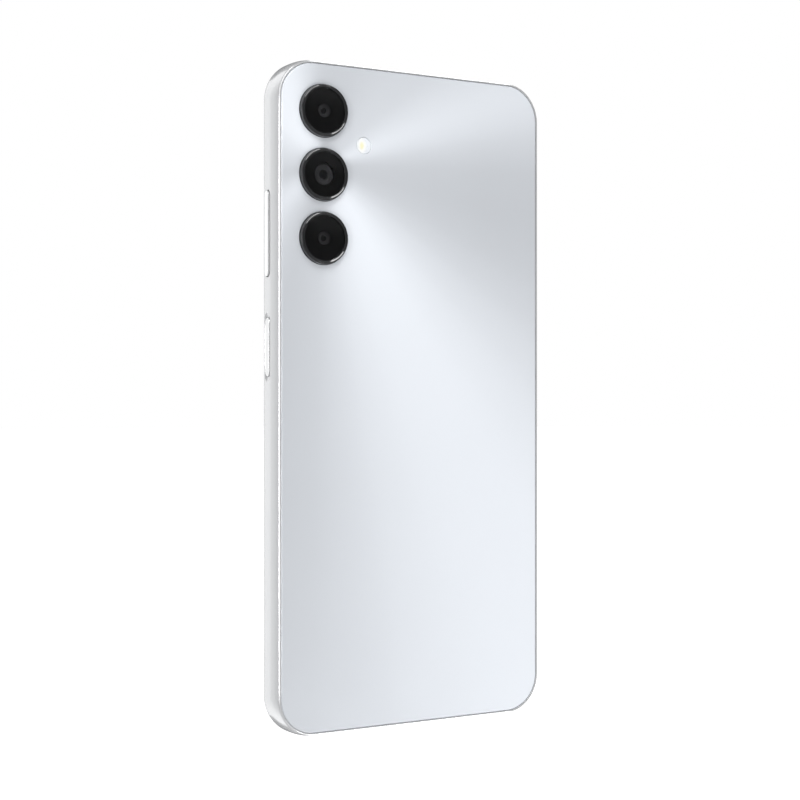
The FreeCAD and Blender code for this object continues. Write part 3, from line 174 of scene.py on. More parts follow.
def stack(name, loops, closed=False, sharp=32.0):
    """A solid from loops of 3-D points of equal length, joined in order, with flat ends or closed on itself."""
    verts = [p for loop in loops for p in loop]
    count = len(loops[0])
    rings = [list(range(n * count, (n + 1) * count)) for n in range(len(loops))]
    faces = strips(rings, closed)
    if not closed:
        faces += [tuple(rings[0]), tuple(reversed(rings[-1]))]
    return piece(name, verts, faces, sharp)


def arc(cx, cy, radius, start, end, steps):
    """Points of an arc, in degrees."""
    angles = [math.radians(start + (end - start) * n / steps) for n in range(steps + 1)]
    return [(cx + radius * math.cos(a), cy + radius * math.sin(a)) for a in angles]


def circle(cx, cy, radius, steps):
    return arc(cx, cy, radius, 0, 360 * (steps - 1) / steps, steps - 1)


def rounded_loop(left, right, bottom, top, radius, steps, straights=(1, 1)):
    """A rounded rectangle. Its straights are divided into so many parts, across and upright."""
    loop = []
    corners = [
        (right - radius, bottom + radius),
        (right - radius, top - radius),
        (left + radius, top - radius),
        (left + radius, bottom + radius),
    ]
    for n, (cu, cv) in enumerate(corners):
        loop += arc(cu, cv, radius, 90 * n - 90, 90 * n, steps)
        upright = n % 2 == 0
        length = (top - bottom if upright else right - left) - 2 * radius
        parts = straights[1] if upright else straights[0]
        du, dv = ((0, 1), (-1, 0), (0, -1), (1, 0))[n]
        u, v = loop[-1]
        loop += [(u + du * length * k / parts, v + dv * length * k / parts) for k in range(1, parts)]
    return loop


def body_loop(inset, y, steps=CORNER_STEPS):
    """The body's outline, moved in by an inset, at one depth."""
    flat = rounded_loop(inset - HALF, HALF - inset, inset, HEIGHT - inset, CORNER - inset, steps, (24, 60))
    return [(x, y, z) for x, z in flat]


def capsule_loop(cu, cv, width, length, steps=16):
    """A slot's outline, long in v if length is the larger, as (u, v)."""
    if length >= width:
        r, reach = width / 2, (length - width) / 2
        return arc(cu, cv + reach, r, 0, 180, steps) + arc(cu, cv - reach, r, 180, 360, steps)
    r, reach = length / 2, (width - length) / 2
    return arc(cu + reach, cv, r, -90, 90, steps) + arc(cu - reach, cv, r, 90, 270, steps)


def lathe(name, cx, cz, profile, steps=96, sharp=32.0):
    """A piece turned about an axis along Y: a ring, or a solid if the profile starts and ends on the axis."""
    on_axis = [abs(r) < 1e-9 for r, _ in profile]
    verts, rings = [], []
    for (r, y), centred in zip(profile, on_axis):
        if centred:
            rings.append([len(verts)])
            verts.append((cx, y, cz))
            continue
        rings.append(list(range(len(verts), len(verts) + steps)))
        for n in range(steps):
            a = 2 * math.pi * n / steps
            verts.append((cx + r * math.cos(a), y, cz + r * math.sin(a)))
    pairs = list(zip(rings, rings[1:]))
    if not any(on_axis):
        pairs.append((rings[-1], rings[0]))
    faces = []
    for a, b in pairs:
        for n in range(steps):
            m = (n + 1) % steps
            if len(a) == 1 and len(b) > 1:
                faces.append((a[0], b[m], b[n]))
            elif len(b) == 1 and len(a) > 1:
                faces.append((a[n], a[m], b[0]))
            elif len(a) > 1 and len(b) > 1:
                faces.append((a[n], a[m], b[m], b[n]))
    return piece(name, verts, faces, sharp)


SLIVER = 2e-7


def carve(made, cutters, sharp=32.0):
    """Cuts closed shapes out of a piece, one after another, and applies the result."""
    for n, cutter in enumerate(cutters):
        cut = made.modifiers.new(f"cut_{n}", "BOOLEAN")
        cut.operation, cut.solver, cut.object = "DIFFERENCE", "EXACT", cutter
    apply_modifiers(made)
    for cutter in cutters:
        bpy.data.objects.remove(cutter)
    work = bmesh.new()
    work.from_mesh(made.data)
    bmesh.ops.remove_doubles(work, verts=work.verts, dist=SLIVER)
    bmesh.ops.dissolve_degenerate(work, edges=work.edges, dist=SLIVER)
    work.to_mesh(made.data)
    work.free()
    smooth(made, sharp)
    return made


def apply_modifiers(made):
    bpy.context.view_layer.update()
    shown = made.evaluated_get(bpy.context.evaluated_depsgraph_get())
    mesh = bpy.data.meshes.new_from_object(shown)
    made.modifiers.clear()
    made.data = mesh


def weigh_normals(made):
    """Lets large flat faces keep their own normals, so that only the rounded edges beside them look round."""
    weigh = made.modifiers.new("weigh", "WEIGHTED_NORMAL")
    weigh.keep_sharp = True
    apply_modifiers(made)


def joined(name, parts):
    """Several meshes as one piece."""
    bpy.ops.object.select_all(action="DESELECT")
    for p in parts:
        p.select_set(True)
    bpy.context.view_layer.objects.active = parts[0]
    bpy.ops.object.join()
    parts[0].name = parts[0].data.name = name
    return parts[0]


def through_x(loop, levels):
    """Loops of (y, z) points at levels along X. A level is (x, growth) and growth moves the loop outwards."""
    return [[(x, y, z) for y, z in grown(loop, growth)] for x, growth in levels]


def through_z(loop, levels):
    return [[(x, y, z) for x, y in grown(loop, growth)] for z, growth in levels]


def through_y(loop, levels):
    return [[(x, y, z) for x, z in grown(loop, growth)] for y, growth in levels]


def grown(loop, growth):
    """A convex loop with each point moved outwards along the mean of its sides' normals."""
    if not growth:
        return loop
    cu = sum(p[0] for p in loop) / len(loop)
    cv = sum(p[1] for p in loop) / len(loop)
    moved = []
    for n, (u, v) in enumerate(loop):
        (pu, pv), (nu, nv) = loop[n - 1], loop[(n + 1) % len(loop)]
        du, dv = nv - pv, pu - nu
        size = math.hypot(du, dv) or 1.0
        if du * (u - cu) + dv * (v - cv) < 0:
            size = -size
        moved.append((u + growth * du / size, v + growth * dv / size))
    return moved


def mesh_grille(name, lo, hi, pitch, bar):
    """A woven screen in the XZ or XY plane: crossing round-shouldered wires over the box's two longer sides."""
    sizes = [hi[k] - lo[k] for k in range(3)]
    thin = sizes.index(min(sizes))
    u_axis, v_axis = [k for k in range(3) if k != thin]
    level = (lo[thin] + hi[thin]) / 2
    swing = sizes[thin] / 2 - bar / 2
    wires = []
    for along, across in ((u_axis, v_axis), (v_axis, u_axis)):
        count = max(2, round(sizes[across] / pitch))
        steps = max(4, 2 * round(sizes[along] / pitch))
        over = 1 if along == u_axis else -1
        for n in range(count):
            loops = []
            for s in range(steps + 1):
                centre = [0.0, 0.0, 0.0]
                centre[along] = lo[along] + sizes[along] * s / steps
                centre[across] = lo[across] + (n + 0.5) * sizes[across] / count
                centre[thin] = level + swing * over * math.cos(math.pi * (s + n * 2) / 2)
                loops.append(wire_loop(centre, across, thin, bar / 2))
            wires.append(stack(f"{name}_{along}_{n}", loops, sharp=80))
    return joined(name, wires)


def wire_loop(centre, across, thin, radius):
    """A six-sided section of a wire, in the plane of two axes."""
    loop = []
    for k in range(6):
        point = centre[:]
        point[across] += radius * math.cos(math.pi * k / 3)
        point[thin] += radius * math.sin(math.pi * k / 3)
        loop.append(tuple(point))
    return loop


# ---------------------------------------------------------------- materials


class Shader:
    """A node material made in a few calls. Constants sit on the shader's own sockets."""

    def __init__(self, name, colour, rough, **sockets):
        self.material = bpy.data.materials.new(name)
        self.material.use_nodes = True
        self.tree = self.material.node_tree
        self.nodes, self.links = self.tree.nodes, self.tree.links
        self.shader = self.nodes["Principled BSDF"]
        self.colour, self.rough = colour, rough
        self.shader.inputs["Base Color"].default_value = (*colour, 1)
        self.shader.inputs["Roughness"].default_value = rough
        for key, value in sockets.items():
            self.shader.inputs[key.replace("_", " ").title().replace("Ior", "IOR")].default_value = value
        self.place = self.nodes.new("ShaderNodeTexCoord").outputs["Object"]
        self.normal = None

    def node(self, kind, **settings):
        made = self.nodes.new(kind)
        for key, value in settings.items():
            if hasattr(made, key):
                setattr(made, key, value)
            else:
                made.inputs[key.replace("_", " ").title()].default_value = value
        return made

    def link(self, source, target):
        self.links.new(source, target)

    def math(self, operation, first, second=None):
        made = self.node("ShaderNodeMath", operation=operation)
        for n, value in enumerate((first, second)):
            if value is None:
                continue
            if isinstance(value, (int, float)):
                made.inputs[n].default_value = value
            else:
                self.link(value, made.inputs[n])
        return made.outputs[0]

    def noise(self, size, detail=2.0, stretch=(1, 1, 1)):
        """Noise whose features are about that many millimetres across."""
        source = self.place
        if stretch != (1, 1, 1):
            mapping = self.node("ShaderNodeMapping")
            mapping.inputs["Scale"].default_value = stretch
            self.link(self.place, mapping.inputs["Vector"])
            source = mapping.outputs[0]
        made = self.node("ShaderNodeTexNoise", scale=1 / (size * MM), detail=detail)
        self.link(source, made.inputs["Vector"])
        return made.outputs["Fac"]

    def cells(self, size, feature="F1"):
        made = self.node("ShaderNodeTexVoronoi", feature=feature, scale=1 / (size * MM))
        self.link(self.place, made.inputs["Vector"])
        return made.outputs["Distance"]

    def ramp(self, factor, stops, interpolation="LINEAR"):
        made = self.node("ShaderNodeValToRGB")
        made.color_ramp.interpolation = interpolation
        elements = made.color_ramp.elements
        while len(elements) < len(stops):
            elements.new(0.5)
        for element, (position, colour) in zip(elements, stops):
            element.position, element.color = position, (*colour, 1)
        self.link(factor, made.inputs["Fac"])
        return made.outputs["Color"]

    def mix(self, factor, a, b, blend="MIX"):
        made = self.node("ShaderNodeMix", data_type="RGBA", blend_type=blend)
        for socket, value in ((made.inputs[0], factor), (made.inputs[6], a), (made.inputs[7], b)):
            if isinstance(value, (int, float)):
                socket.default_value = value
            elif isinstance(value, tuple):
                socket.default_value = (*value, 1)
            else:
                self.link(value, socket)
        return made.outputs[2]

    def paint(self, colour):
        self.link(colour, self.shader.inputs["Base Color"])
        return self

    def vary(self, size, amount, detail=2.0, stretch=(1, 1, 1)):
        """Lightens and darkens the base colour a little over features of a size."""
        darker = tuple(max(0.0, c * (1 - amount)) for c in self.colour)
        lighter = tuple(min(1.0, c * (1 + amount)) for c in self.colour)
        return self.paint(self.ramp(self.noise(size, detail, stretch), [(0.3, darker), (0.7, lighter)]))

    def smudge(self, size, amount, stretch=(1, 1, 1)):
        """Lets the roughness drift over features of a size."""
        low_end, high_end = max(0.0, self.rough - amount), min(1.0, self.rough + amount)
        spread = self.node("ShaderNodeMapRange", from_min=0.3, from_max=0.7, to_min=low_end, to_max=high_end)
        self.link(self.noise(size, 3.0, stretch), spread.inputs["Value"])
        self.link(spread.outputs[0], self.shader.inputs["Roughness"])
        return self

    def bump(self, height, depth):
        """Adds relief of a depth in millimetres."""
        made = self.node("ShaderNodeBump", strength=1.0, distance=depth * MM)
        self.link(height, made.inputs["Height"])
        if self.normal:
            self.link(self.normal, made.inputs["Normal"])
        self.normal = made.outputs[0]
        self.link(self.normal, self.shader.inputs["Normal"])
        return self

    def grain(self, size, depth, detail=2.0, stretch=(1, 1, 1)):
        return self.bump(self.noise(size, detail, stretch), depth)


def plastic(name, colour, rough=0.45, grain=0.12, depth=0.004):
    """Moulded plastic with a fine spark-eroded texture."""
    return Shader(name, colour, rough).vary(3.0, 0.10).smudge(6.0, 0.06).grain(grain, depth).material


def metal(name, colour, rough=0.3, stretch=(1, 1, 1), depth=0.0015):
    """Pressed and plated metal with faint drawing lines."""
    made = Shader(name, colour, rough, metallic=1.0)
    made.vary(2.0, 0.06, stretch=stretch).smudge(1.5, 0.08, stretch)
    return made.grain(0.08, depth, 3, stretch).material


def lacquer(name, colour, rough=0.28, flake=0.05, **sockets):
    """Silver lacquer: tiny metallic flakes under a clear coat that carries a faint orange peel."""
    made = Shader(name, colour, rough, coat_weight=1.0, coat_roughness=0.04, **sockets)
    made.vary(flake, 0.035, 1.0).smudge(9.0, 0.03)
    return made.grain(0.9, 0.0006, 1.0).grain(flake, 0.0004, 1.0).material


# The sheen is a painted reflection: brightness painted into the panel's colour, fanning out from a point beside
# the flash. Its rays are (direction, brightness), in degrees, with 0 towards -X and 90 upwards. Its reach is
# (share of the span, brightness).
SHEEN_X, SHEEN_Z, SHEEN_SPAN = 26.0, 142.0, 150.0
SHEEN_TINT = (0.888, 0.921, 0.972)
SHEEN_FAN = [
    (-180, 0.75), (-162, 0.69), (-141, 0.84), (-126, 0.77), (-111, 0.675), (-99, 0.69), (-90, 0.755),
    (-81, 0.865), (-72, 0.95), (-60, 0.99), (-51, 0.97), (-42, 0.895), (-33, 0.80), (-24, 0.715), (-14, 0.665),
    (-4, 0.66), (4, 0.69), (12, 0.785), (19, 0.875), (27, 0.86), (38, 0.77), (54, 0.73), (78, 0.68), (95, 0.73),
    (110, 0.93), (128, 0.97), (150, 0.90), (180, 0.75),
]
SHEEN_REACH = [(0.0, 1.10), (0.14, 1.05), (0.32, 1.0), (0.55, 0.985), (0.80, 1.005), (1.0, 1.02)]


def panel_material():
    """The panel's pearl tone with a painted sheen, brighter in rays that fan out from beside the flash, under a
    glossy hard coat.
    """
    base = (0.72, 0.735, 0.765)
    made = Shader("panel_pearl_painted_sheen", base, 0.22, coat_weight=0.6, coat_roughness=0.02, metallic=0.12)
    split = made.node("ShaderNodeSeparateXYZ")
    made.link(made.place, split.inputs[0])
    across = made.math("SUBTRACT", SHEEN_X * MM, split.outputs["X"])
    up = made.math("SUBTRACT", split.outputs["Z"], SHEEN_Z * MM)
    fraction = made.math("ADD", made.math("DIVIDE", made.math("ARCTAN2", up, across), 2 * math.pi), 0.5)
    # painted sheen: the reflection's brightness by direction round its centre, painted into the base colour
    rays = [((turn + 180) / 360, tuple(v * tint for tint in SHEEN_TINT)) for turn, v in SHEEN_FAN]
    sheen_wedge = made.ramp(fraction, rays, "CARDINAL")
    # painted sheen: its brightness also changes with distance from the centre
    squares = made.math("ADD", made.math("POWER", across, 2.0), made.math("POWER", up, 2.0))
    reach = made.math("DIVIDE", made.math("SQRT", squares), SHEEN_SPAN * MM)
    sheen_wedge = made.mix(1.0, sheen_wedge, made.ramp(reach, [(p, (v, v, v)) for p, v in SHEEN_REACH]), "MULTIPLY")
    fine = made.ramp(made.noise(0.07, 1.0), [(0.3, (0.97, 0.97, 0.97)), (0.7, (1.03, 1.03, 1.03))])
    made.paint(made.mix(1.0, sheen_wedge, fine, "MULTIPLY"))
    return made.smudge(14.0, 0.03).grain(5.0, 0.0015, 1.0).material


def circuit_material():
    """Dark solder mask with raised traces, vias and a faint weave."""
    made = Shader("solder_mask", (0.012, 0.035, 0.055), 0.32, coat_weight=0.3)
    traces = made.cells(1.4, "DISTANCE_TO_EDGE")
    line = made.ramp(traces, [(0.03, (1, 1, 1)), (0.06, (0, 0, 0))])
    vias = made.ramp(made.cells(0.9), [(0.10, (1, 1, 1)), (0.14, (0, 0, 0))])
    base = made.mix(line, (0.012, 0.035, 0.055), (0.02, 0.075, 0.10))
    made.paint(made.mix(vias, base, (0.65, 0.48, 0.22)))
    return made.smudge(2.0, 0.06).bump(line, 0.01).grain(0.15, 0.002).material


def battery_material():
    """Dark foil pouch wrap with soft wrinkles."""
    made = Shader("pouch_foil", (0.06, 0.062, 0.068), 0.38, metallic=0.4)
    made.vary(18.0, 0.25, 3.0).smudge(5.0, 0.12)
    return made.grain(7.0, 0.05, 3.0).grain(0.5, 0.004).material


def wound_material():
    """Fine copper winding over a stiff grey film."""
    made = Shader("wound_film", (0.18, 0.18, 0.20), 0.4)
    wave = made.node("ShaderNodeTexWave", wave_type="RINGS", rings_direction="Y")
    wave.inputs["Scale"].default_value = 1200
    made.link(made.place, wave.inputs["Vector"])
    made.paint(made.mix(wave.outputs["Fac"], (0.10, 0.10, 0.11), (0.36, 0.20, 0.10)))
    return made.bump(wave.outputs["Fac"], 0.02).material


def film_material(name, colour, rough=0.35, **sockets):
    """Thin plastic film or foam tape with faint creases."""
    made = Shader(name, colour, rough, **sockets)
    return made.vary(4.0, 0.12, 3.0).smudge(3.0, 0.08).grain(1.2, 0.006, 3.0).material


def glass_material(name, tint, ior=1.45):
    """Polished glass with barely visible wipe marks."""
    made = Shader(name, tint, 0.0, transmission_weight=1.0, ior=ior)
    return made.vary(12.0, 0.02, 2.0).grain(18.0, 0.0004, 1.0).material


def flash_material():
    """Milky diffuser with the yellow emitter showing through, left of its middle."""
    made = Shader("flash_milk", (0.93, 0.93, 0.91), 0.18, coat_weight=0.6, coat_roughness=0.03)
    mapping = made.node("ShaderNodeMapping")
    mapping.inputs["Location"].default_value = (-(FLASH_X + 0.62) * MM, 0, -(FLASH_Z - 0.1) * MM)
    made.link(made.place, mapping.inputs["Vector"])
    scale = made.node("ShaderNodeVectorMath", operation="MULTIPLY")
    scale.inputs[1].default_value = (1 / (0.62 * MM), 0, 1 / (0.95 * MM))
    made.link(mapping.outputs[0], scale.inputs[0])
    reach = made.node("ShaderNodeVectorMath", operation="LENGTH")
    made.link(scale.outputs[0], reach.inputs[0])
    glow = [
        (0.0, (0.88, 0.84, 0.52)), (0.28, (0.90, 0.88, 0.66)),
        (0.52, (0.93, 0.93, 0.90)), (1.0, (0.80, 0.83, 0.87)),
    ]
    made.paint(made.ramp(made.math("DIVIDE", reach.outputs["Value"], 2.4), glow))
    return made.smudge(0.8, 0.05).grain(0.25, 0.002, 1.0).material


def screen_material():
    """Switched-off display: near black, with the faint grid of its pixels."""
    made = Shader("dark_display", (0.010, 0.011, 0.014), 0.18, specular_ior_level=0.3)
    wave = made.node("ShaderNodeTexWave", wave_type="BANDS", bands_direction="X")
    wave.inputs["Scale"].default_value = 3200
    made.link(made.place, wave.inputs["Vector"])
    made.paint(made.mix(wave.outputs["Fac"], (0.008, 0.009, 0.012), (0.013, 0.014, 0.018)))
    return made.smudge(20.0, 0.05).material


def window_print_and_reflection_material():
    """Black print behind the camera windows, with a painted reflection that makes it lighter towards the top of
    each window.
    """
    made = Shader("window_print_painted_reflection", (0.006, 0.006, 0.007), 0.5, specular_ior_level=0.1)
    split = made.node("ShaderNodeSeparateXYZ")
    made.link(made.place, split.inputs[0])
    pitch = RING_Z["top"] - RING_Z["middle"]
    start = RING_Z["bottom"] - pitch / 2
    steps = made.math("DIVIDE", made.math("SUBTRACT", split.outputs["Z"], start * MM), pitch * MM)
    # painted reflection: the print grows lighter towards the top of each window, standing in for the bright
    # room it would mirror
    painted_reflection_shades = [(0.15, (0.001, 0.001, 0.001)), (0.50, (0.004, 0.004, 0.004)), (0.88, (0.030, 0.030, 0.030))]
    made.paint(made.ramp(made.math("FRACT", steps), painted_reflection_shades))
    return made.smudge(2.0, 0.05).material


def gloss_black(name, colour, rough, level):
    """Hard black lacquer or print."""
    return Shader(name, colour, rough, specular_ior_level=level)


BRUSHED = (1, 1, 0.08)
RING_BLACK = gloss_black("ring_gloss_black", (0.012, 0.012, 0.013), 0.10, 0.8)
BORDER_BLACK = gloss_black("black_print", (0.006, 0.006, 0.007), 0.35, 0.3)
COATING = gloss_black("coated_lens", (0.001, 0.001, 0.002), 0.04, 0.28)
PRINT = BORDER_BLACK.vary(1.0, 0.15).smudge(2.0, 0.05).material
# black print with a painted reflection, lighter towards the top of each window
WINDOW_PRINT_AND_REFLECTION = window_print_and_reflection_material()
TRIM = Shader("lens_trim_grey", (0.055, 0.055, 0.057), 0.38).vary(0.3, 0.12).grain(0.06, 0.001).material
MATERIALS = {
    "frame_silver": lacquer("frame_lacquer", (0.64, 0.645, 0.655), 0.22, metallic=0.4),
    "panel_silver": panel_material(),
    "key_silver": lacquer("key_lacquer", (0.93, 0.932, 0.935), 0.18, metallic=0.92),
    "sensor_silver": lacquer("sensor_lacquer", (0.74, 0.745, 0.75), 0.20, 0.03),
    "cover_glass": glass_material("cover_glass_clear", (1.0, 1.0, 1.0)),
    "window_glass": glass_material("window_glass_clear", (0.97, 0.97, 0.98), ior=1.38),
    "lens_glass": COATING.vary(2.0, 0.3).material,
    "flash_diffuser": flash_material(),
    "led_yellow": Shader("phosphor", (0.90, 0.74, 0.16), 0.5).vary(0.3, 0.1).grain(0.1, 0.01).material,
    "ring_black": RING_BLACK.vary(1.5, 0.2).smudge(4.0, 0.03).grain(0.3, 0.0004).material,
    "lcd_black": screen_material(),
    "white_film": film_material("white_film", (0.82, 0.82, 0.81)),
    "black_tape": film_material("black_tape", (0.02, 0.02, 0.02), 0.6),
    "black_mesh": metal("mesh_black", (0.05, 0.05, 0.052), 0.45),
    "black_plastic": plastic("moulded_black", (0.018, 0.018, 0.02), 0.42),
    "inner_plastic": plastic("moulded_grey", (0.055, 0.055, 0.06), 0.5),
    "tray_plastic": plastic("tray_grey", (0.10, 0.10, 0.105), 0.48),
    "seal_rubber": plastic("soft_seal", (0.05, 0.05, 0.05), 0.8, 0.2, 0.01),
    "cast_alloy": metal("cast_alloy", (0.50, 0.50, 0.51), 0.5, depth=0.01),
    "camera_steel": metal("camera_can", (0.42, 0.42, 0.44), 0.35, BRUSHED),
    "spring_steel": metal("spring_steel", (0.60, 0.60, 0.60), 0.28, BRUSHED),
    "shield_steel": metal("shield_tin", (0.62, 0.62, 0.61), 0.36),
    "board_blue": circuit_material(),
    "chip_black": plastic("chip_resin", (0.02, 0.02, 0.02), 0.55, 0.06, 0.003),
    "flex_amber": film_material("polyimide", (0.42, 0.17, 0.025), 0.3, coat_weight=0.4),
    "flex_black": film_material("black_polyimide", (0.02, 0.02, 0.022), 0.3, coat_weight=0.4),
    "cable_black": plastic("cable_jacket", (0.02, 0.02, 0.02), 0.4, 0.4, 0.004),
    "contact_gold": metal("gold_plate", (0.80, 0.56, 0.22), 0.22),
    "battery_foil": battery_material(),
    "motor_weight": metal("sintered_metal", (0.33, 0.33, 0.35), 0.45, depth=0.006),
    "magnet_nickel": metal("nickel_plate", (0.58, 0.56, 0.53), 0.22),
    "diaphragm_film": wound_material(),
}


def finish_piece(made, body, slot, *nodes, material=None):
    """Gives a piece its material, by default the one for its slot, and its body, and hides the CAD nodes that
    it stands for.
    """
    weigh_normals(made)
    made.data.materials.clear()
    made.data.materials.append(material or MATERIALS[slot])
    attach(made, body)
    if nodes:
        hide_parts(*nodes)
    return made


# ---------------------------------------------------------------- outer shell


def make_frame_ring():
    """The frame's section swept round the outline, then cut for the keys, the tray and the ports."""
    lip_back, lip_front = BACK_Y, FRONT_Y + 0.1
    rise = lip_back - EDGE_DROP - BAND_BACK_Y
    radius = (rise * rise + EDGE_INSET * EDGE_INSET) / (2 * EDGE_INSET)
    sweep = math.degrees(math.asin(rise / radius))
    nose = math.degrees(math.asin((BAND_FRONT_Y - lip_front) / FRONT_SWEEP))
    back_arc = [(radius - u, v) for u, v in arc(0, BAND_BACK_Y, radius, 0, sweep, 10)]
    front_arc = [(FRONT_SWEEP - u, v) for u, v in arc(0, BAND_FRONT_Y, FRONT_SWEEP, 0, -nose, 10)]
    edge_u, edge_v = back_arc[-1]
    profile = [
        (WALL, GLASS_LEDGE_Y), (WALL, PANEL_LEDGE_Y), (PANEL_RABBET - 0.05, PANEL_LEDGE_Y),
        (PANEL_RABBET - 0.05, PANEL_LEDGE_Y + 0.1), (PANEL_RABBET, PANEL_LEDGE_Y + 0.15),
        (PANEL_RABBET, lip_back - 0.03), (PANEL_RABBET - 0.02, lip_back), (LIP_INSET + 0.13, lip_back),
        (LIP_INSET + 0.05, lip_back - 0.004), (LIP_INSET, lip_back - 0.02),
        (edge_u + 0.03, edge_v + 0.038), (edge_u + 0.010, edge_v + 0.016),
        *reversed(back_arc), *front_arc,
        (GLASS_RABBET - 0.03, lip_front), (GLASS_RABBET, lip_front + 0.03), (GLASS_RABBET, GLASS_LEDGE_Y),
    ]
    made = stack("frame_ring", [body_loop(u, v) for u, v in profile], closed=True, sharp=24)
    carve(made, [*key_cutters(), *tray_cutters(), *port_cutters()], 24)
    return finish_piece(made, "housing", "frame_silver", "side_frame")


def key_cutters():
    """The slots of both keys: the volume key's with a broken edge, the power key's in a scalloped hollow."""
    width = KEY_WIDTH + 2 * KEY_GAP
    slots = [capsule_loop(KEY_Y, middle(node).z, width, key["slot"], 20) for node, key in KEYS.items()]
    rim = 0.10
    broken = [(INSIDE, 0), (HALF - rim, 0), (HALF, rim), (OUTSIDE, rim)]
    return [
        stack("cut_volume", through_x(slots[0], broken)), dish_cutter(middle("power_key").z),
        stack("cut_power", through_x(slots[1], [(INSIDE, 0), (OUTSIDE, 0)])),
    ]


def dish_cutter(centre):
    """The hollow round the power key: a shallow trough that runs out towards both ends."""
    loops = []
    steps = 40
    for n in range(steps + 1):
        along = -math.cos(math.pi * n / steps)
        z = centre + DISH_HALF_LENGTH * along
        depth = DISH_DEPTH * (1 - abs(along) ** 5) ** 0.7 + 0.001
        half = DISH_HALF_WIDTH * (1 - abs(along) ** 12) ** 0.5 + 0.02
        floor = [(HALF - depth * (1 - abs(k / 8) ** 3), KEY_Y + half * k / 8, z) for k in range(-8, 9)]
        lid = [(HALF + 0.6, KEY_Y + half, z), (HALF + 0.6, KEY_Y - half, z)]
        loops.append(floor + lid)
    return stack("cut_dish", loops)


def tray_cutters():
    """The tray's stepped slot and the eject pin's hole, on the -X side."""
    y, z = middle("sim_tray_head").y, middle("sim_tray_head").z
    head = rounded_loop(
        y - HEAD_HALF_WIDTH, y + HEAD_HALF_WIDTH, z - HEAD_HALF_LENGTH, z + HEAD_HALF_LENGTH, 0.5, 6
    )
    neck = rounded_loop(
        y - NECK_HALF_WIDTH, y + NECK_HALF_WIDTH, z - NECK_HALF_LENGTH, z + NECK_HALF_LENGTH, 0.2, 3
    )
    eject = circle(y, z + EJECT_REACH, EJECT_RADIUS, 24)
    mouth = [(-OUTSIDE, 0.06), (-HALF, 0.06), (-HALF + 0.06, 0), (-HALF + 1.7, 0)]
    through = [(-HALF + 1, 0), (-INSIDE, 0)]
    return [
        stack("cut_head", through_x(head, mouth)),
        stack("cut_neck", through_x(neck, through)),
        stack("cut_eject", through_x(eject, through)),
    ]


def port_cutters():
    """The flared holes of the bottom edge, the top microphone's hole and the earpiece's channel."""
    jack_x, speaker_x = middle("jack_socket").x, middle("speaker_mesh").x
    flare = [(-0.6, 0.14), (0.0, 0.14), (0.14, 0), (2.9, 0)]
    top = [(HEIGHT + 0.6, 0.1), (HEIGHT, 0.1), (HEIGHT - 0.1, 0), (HEIGHT - 2.9, 0)]
    channel = rounded_loop(-5, 5, HEIGHT - WALL - 0.5, HEIGHT - WALL + 0.75, 0.2, 3)
    holes = [
        ("cut_usb", capsule_loop(middle("usb_shell").x, PORT_Y, USB_WIDTH, USB_HEIGHT, 24), flare),
        ("cut_jack", circle(jack_x, PORT_Y, JACK_RADIUS, 48), flare),
        ("cut_microphone", circle(MICROPHONE_X, PORT_Y, MICROPHONE_RADIUS, 48), flare),
        ("cut_top_microphone", circle(jack_x, PORT_Y, MICROPHONE_RADIUS, 48), top),
    ]
    for n in range(SOUND_SLOTS):
        x = speaker_x + (n - (SOUND_SLOTS - 1) / 2) * SOUND_PITCH
        holes.append((f"cut_sound_{n}", capsule_loop(x, PORT_Y, SOUND_WIDTH, SOUND_HEIGHT, 16), flare))
    cutters = [stack(name, through_z(loop, levels)) for name, loop, levels in holes]
    return [*cutters, stack("cut_earpiece", through_y(channel, [(-4.2, 0), (-2.3, 0)]))]


def make_rear_panel():
    """The bonded panel with a rolled edge and holes for the rings and the flash."""
    profile = [
        (1.22, BACK_Y - 0.65), (1.15, BACK_Y - 0.60), (1.15, BACK_Y - 0.24), (1.158, BACK_Y - 0.215),
        (1.172, BACK_Y - 0.195), (1.355, BACK_Y - 0.020), (1.375, BACK_Y - 0.006), (1.40, BACK_Y),
    ]
    made = stack("rear_panel", [body_loop(u, v) for u, v in profile], sharp=24)
    holes = [(RING_X, z, RING_OUT + 0.1) for z in RING_Z.values()] + [(FLASH_X, FLASH_Z, FLASH_HOLE)]
    levels = [(BACK_Y - 1, 0), (BACK_Y - 0.05, 0), (BACK_Y, 0.05), (BACK_Y + 1, 0.05)]
    carve(made, [stack("cut_hole", through_y(circle(x, z, r, 96), levels)) for x, z, r in holes], 24)
    return finish_piece(made, "housing", "panel_silver", "back_panel")


def make_front_glass():
    """Cover glass with a rounded rim and a slit for the earpiece, and the black print behind its border."""
    rolled = [(1.60 - u, FRONT_Y + 0.35 - v) for u, v in arc(0, 0, 0.35, 0, 90, 7)]
    profile = [(1.33, FRONT_Y + 0.52), (1.25, FRONT_Y + 0.44), *rolled]
    made = stack("front_glass", [body_loop(u, v) for u, v in profile], sharp=28)
    slit = rounded_loop(-SLIT_HALF, SLIT_HALF, HEIGHT - SLIT_DEPTH, HEIGHT, 0.3, 5)
    carve(made, [stack("cut_slit", through_y(slit, [(FRONT_Y - 1, 0), (FRONT_Y + 1, 0)]))], 28)
    finish_piece(made, "housing", "cover_glass", "cover_glass")

    border = stack("border_print", [body_loop(1.4, FRONT_Y + 0.522), body_loop(1.4, FRONT_Y + 0.545)])
    view = rounded_loop(-SCREEN_HALF, SCREEN_HALF, SCREEN_LOW, SCREEN_HIGH, SCREEN_CORNER, 16)
    eye = circle(0, FRONT_CAMERA_Z, 1.7, 48)
    openings = {"cut_view": notched(view), "cut_eye": eye, "cut_print_slit": slit}
    levels = [(FRONT_Y, 0), (FRONT_Y + 1, 0)]
    carve(border, [stack(name, through_y(loop, levels)) for name, loop in openings.items()])
    return finish_piece(border, "housing", "cover_glass", material=PRINT)


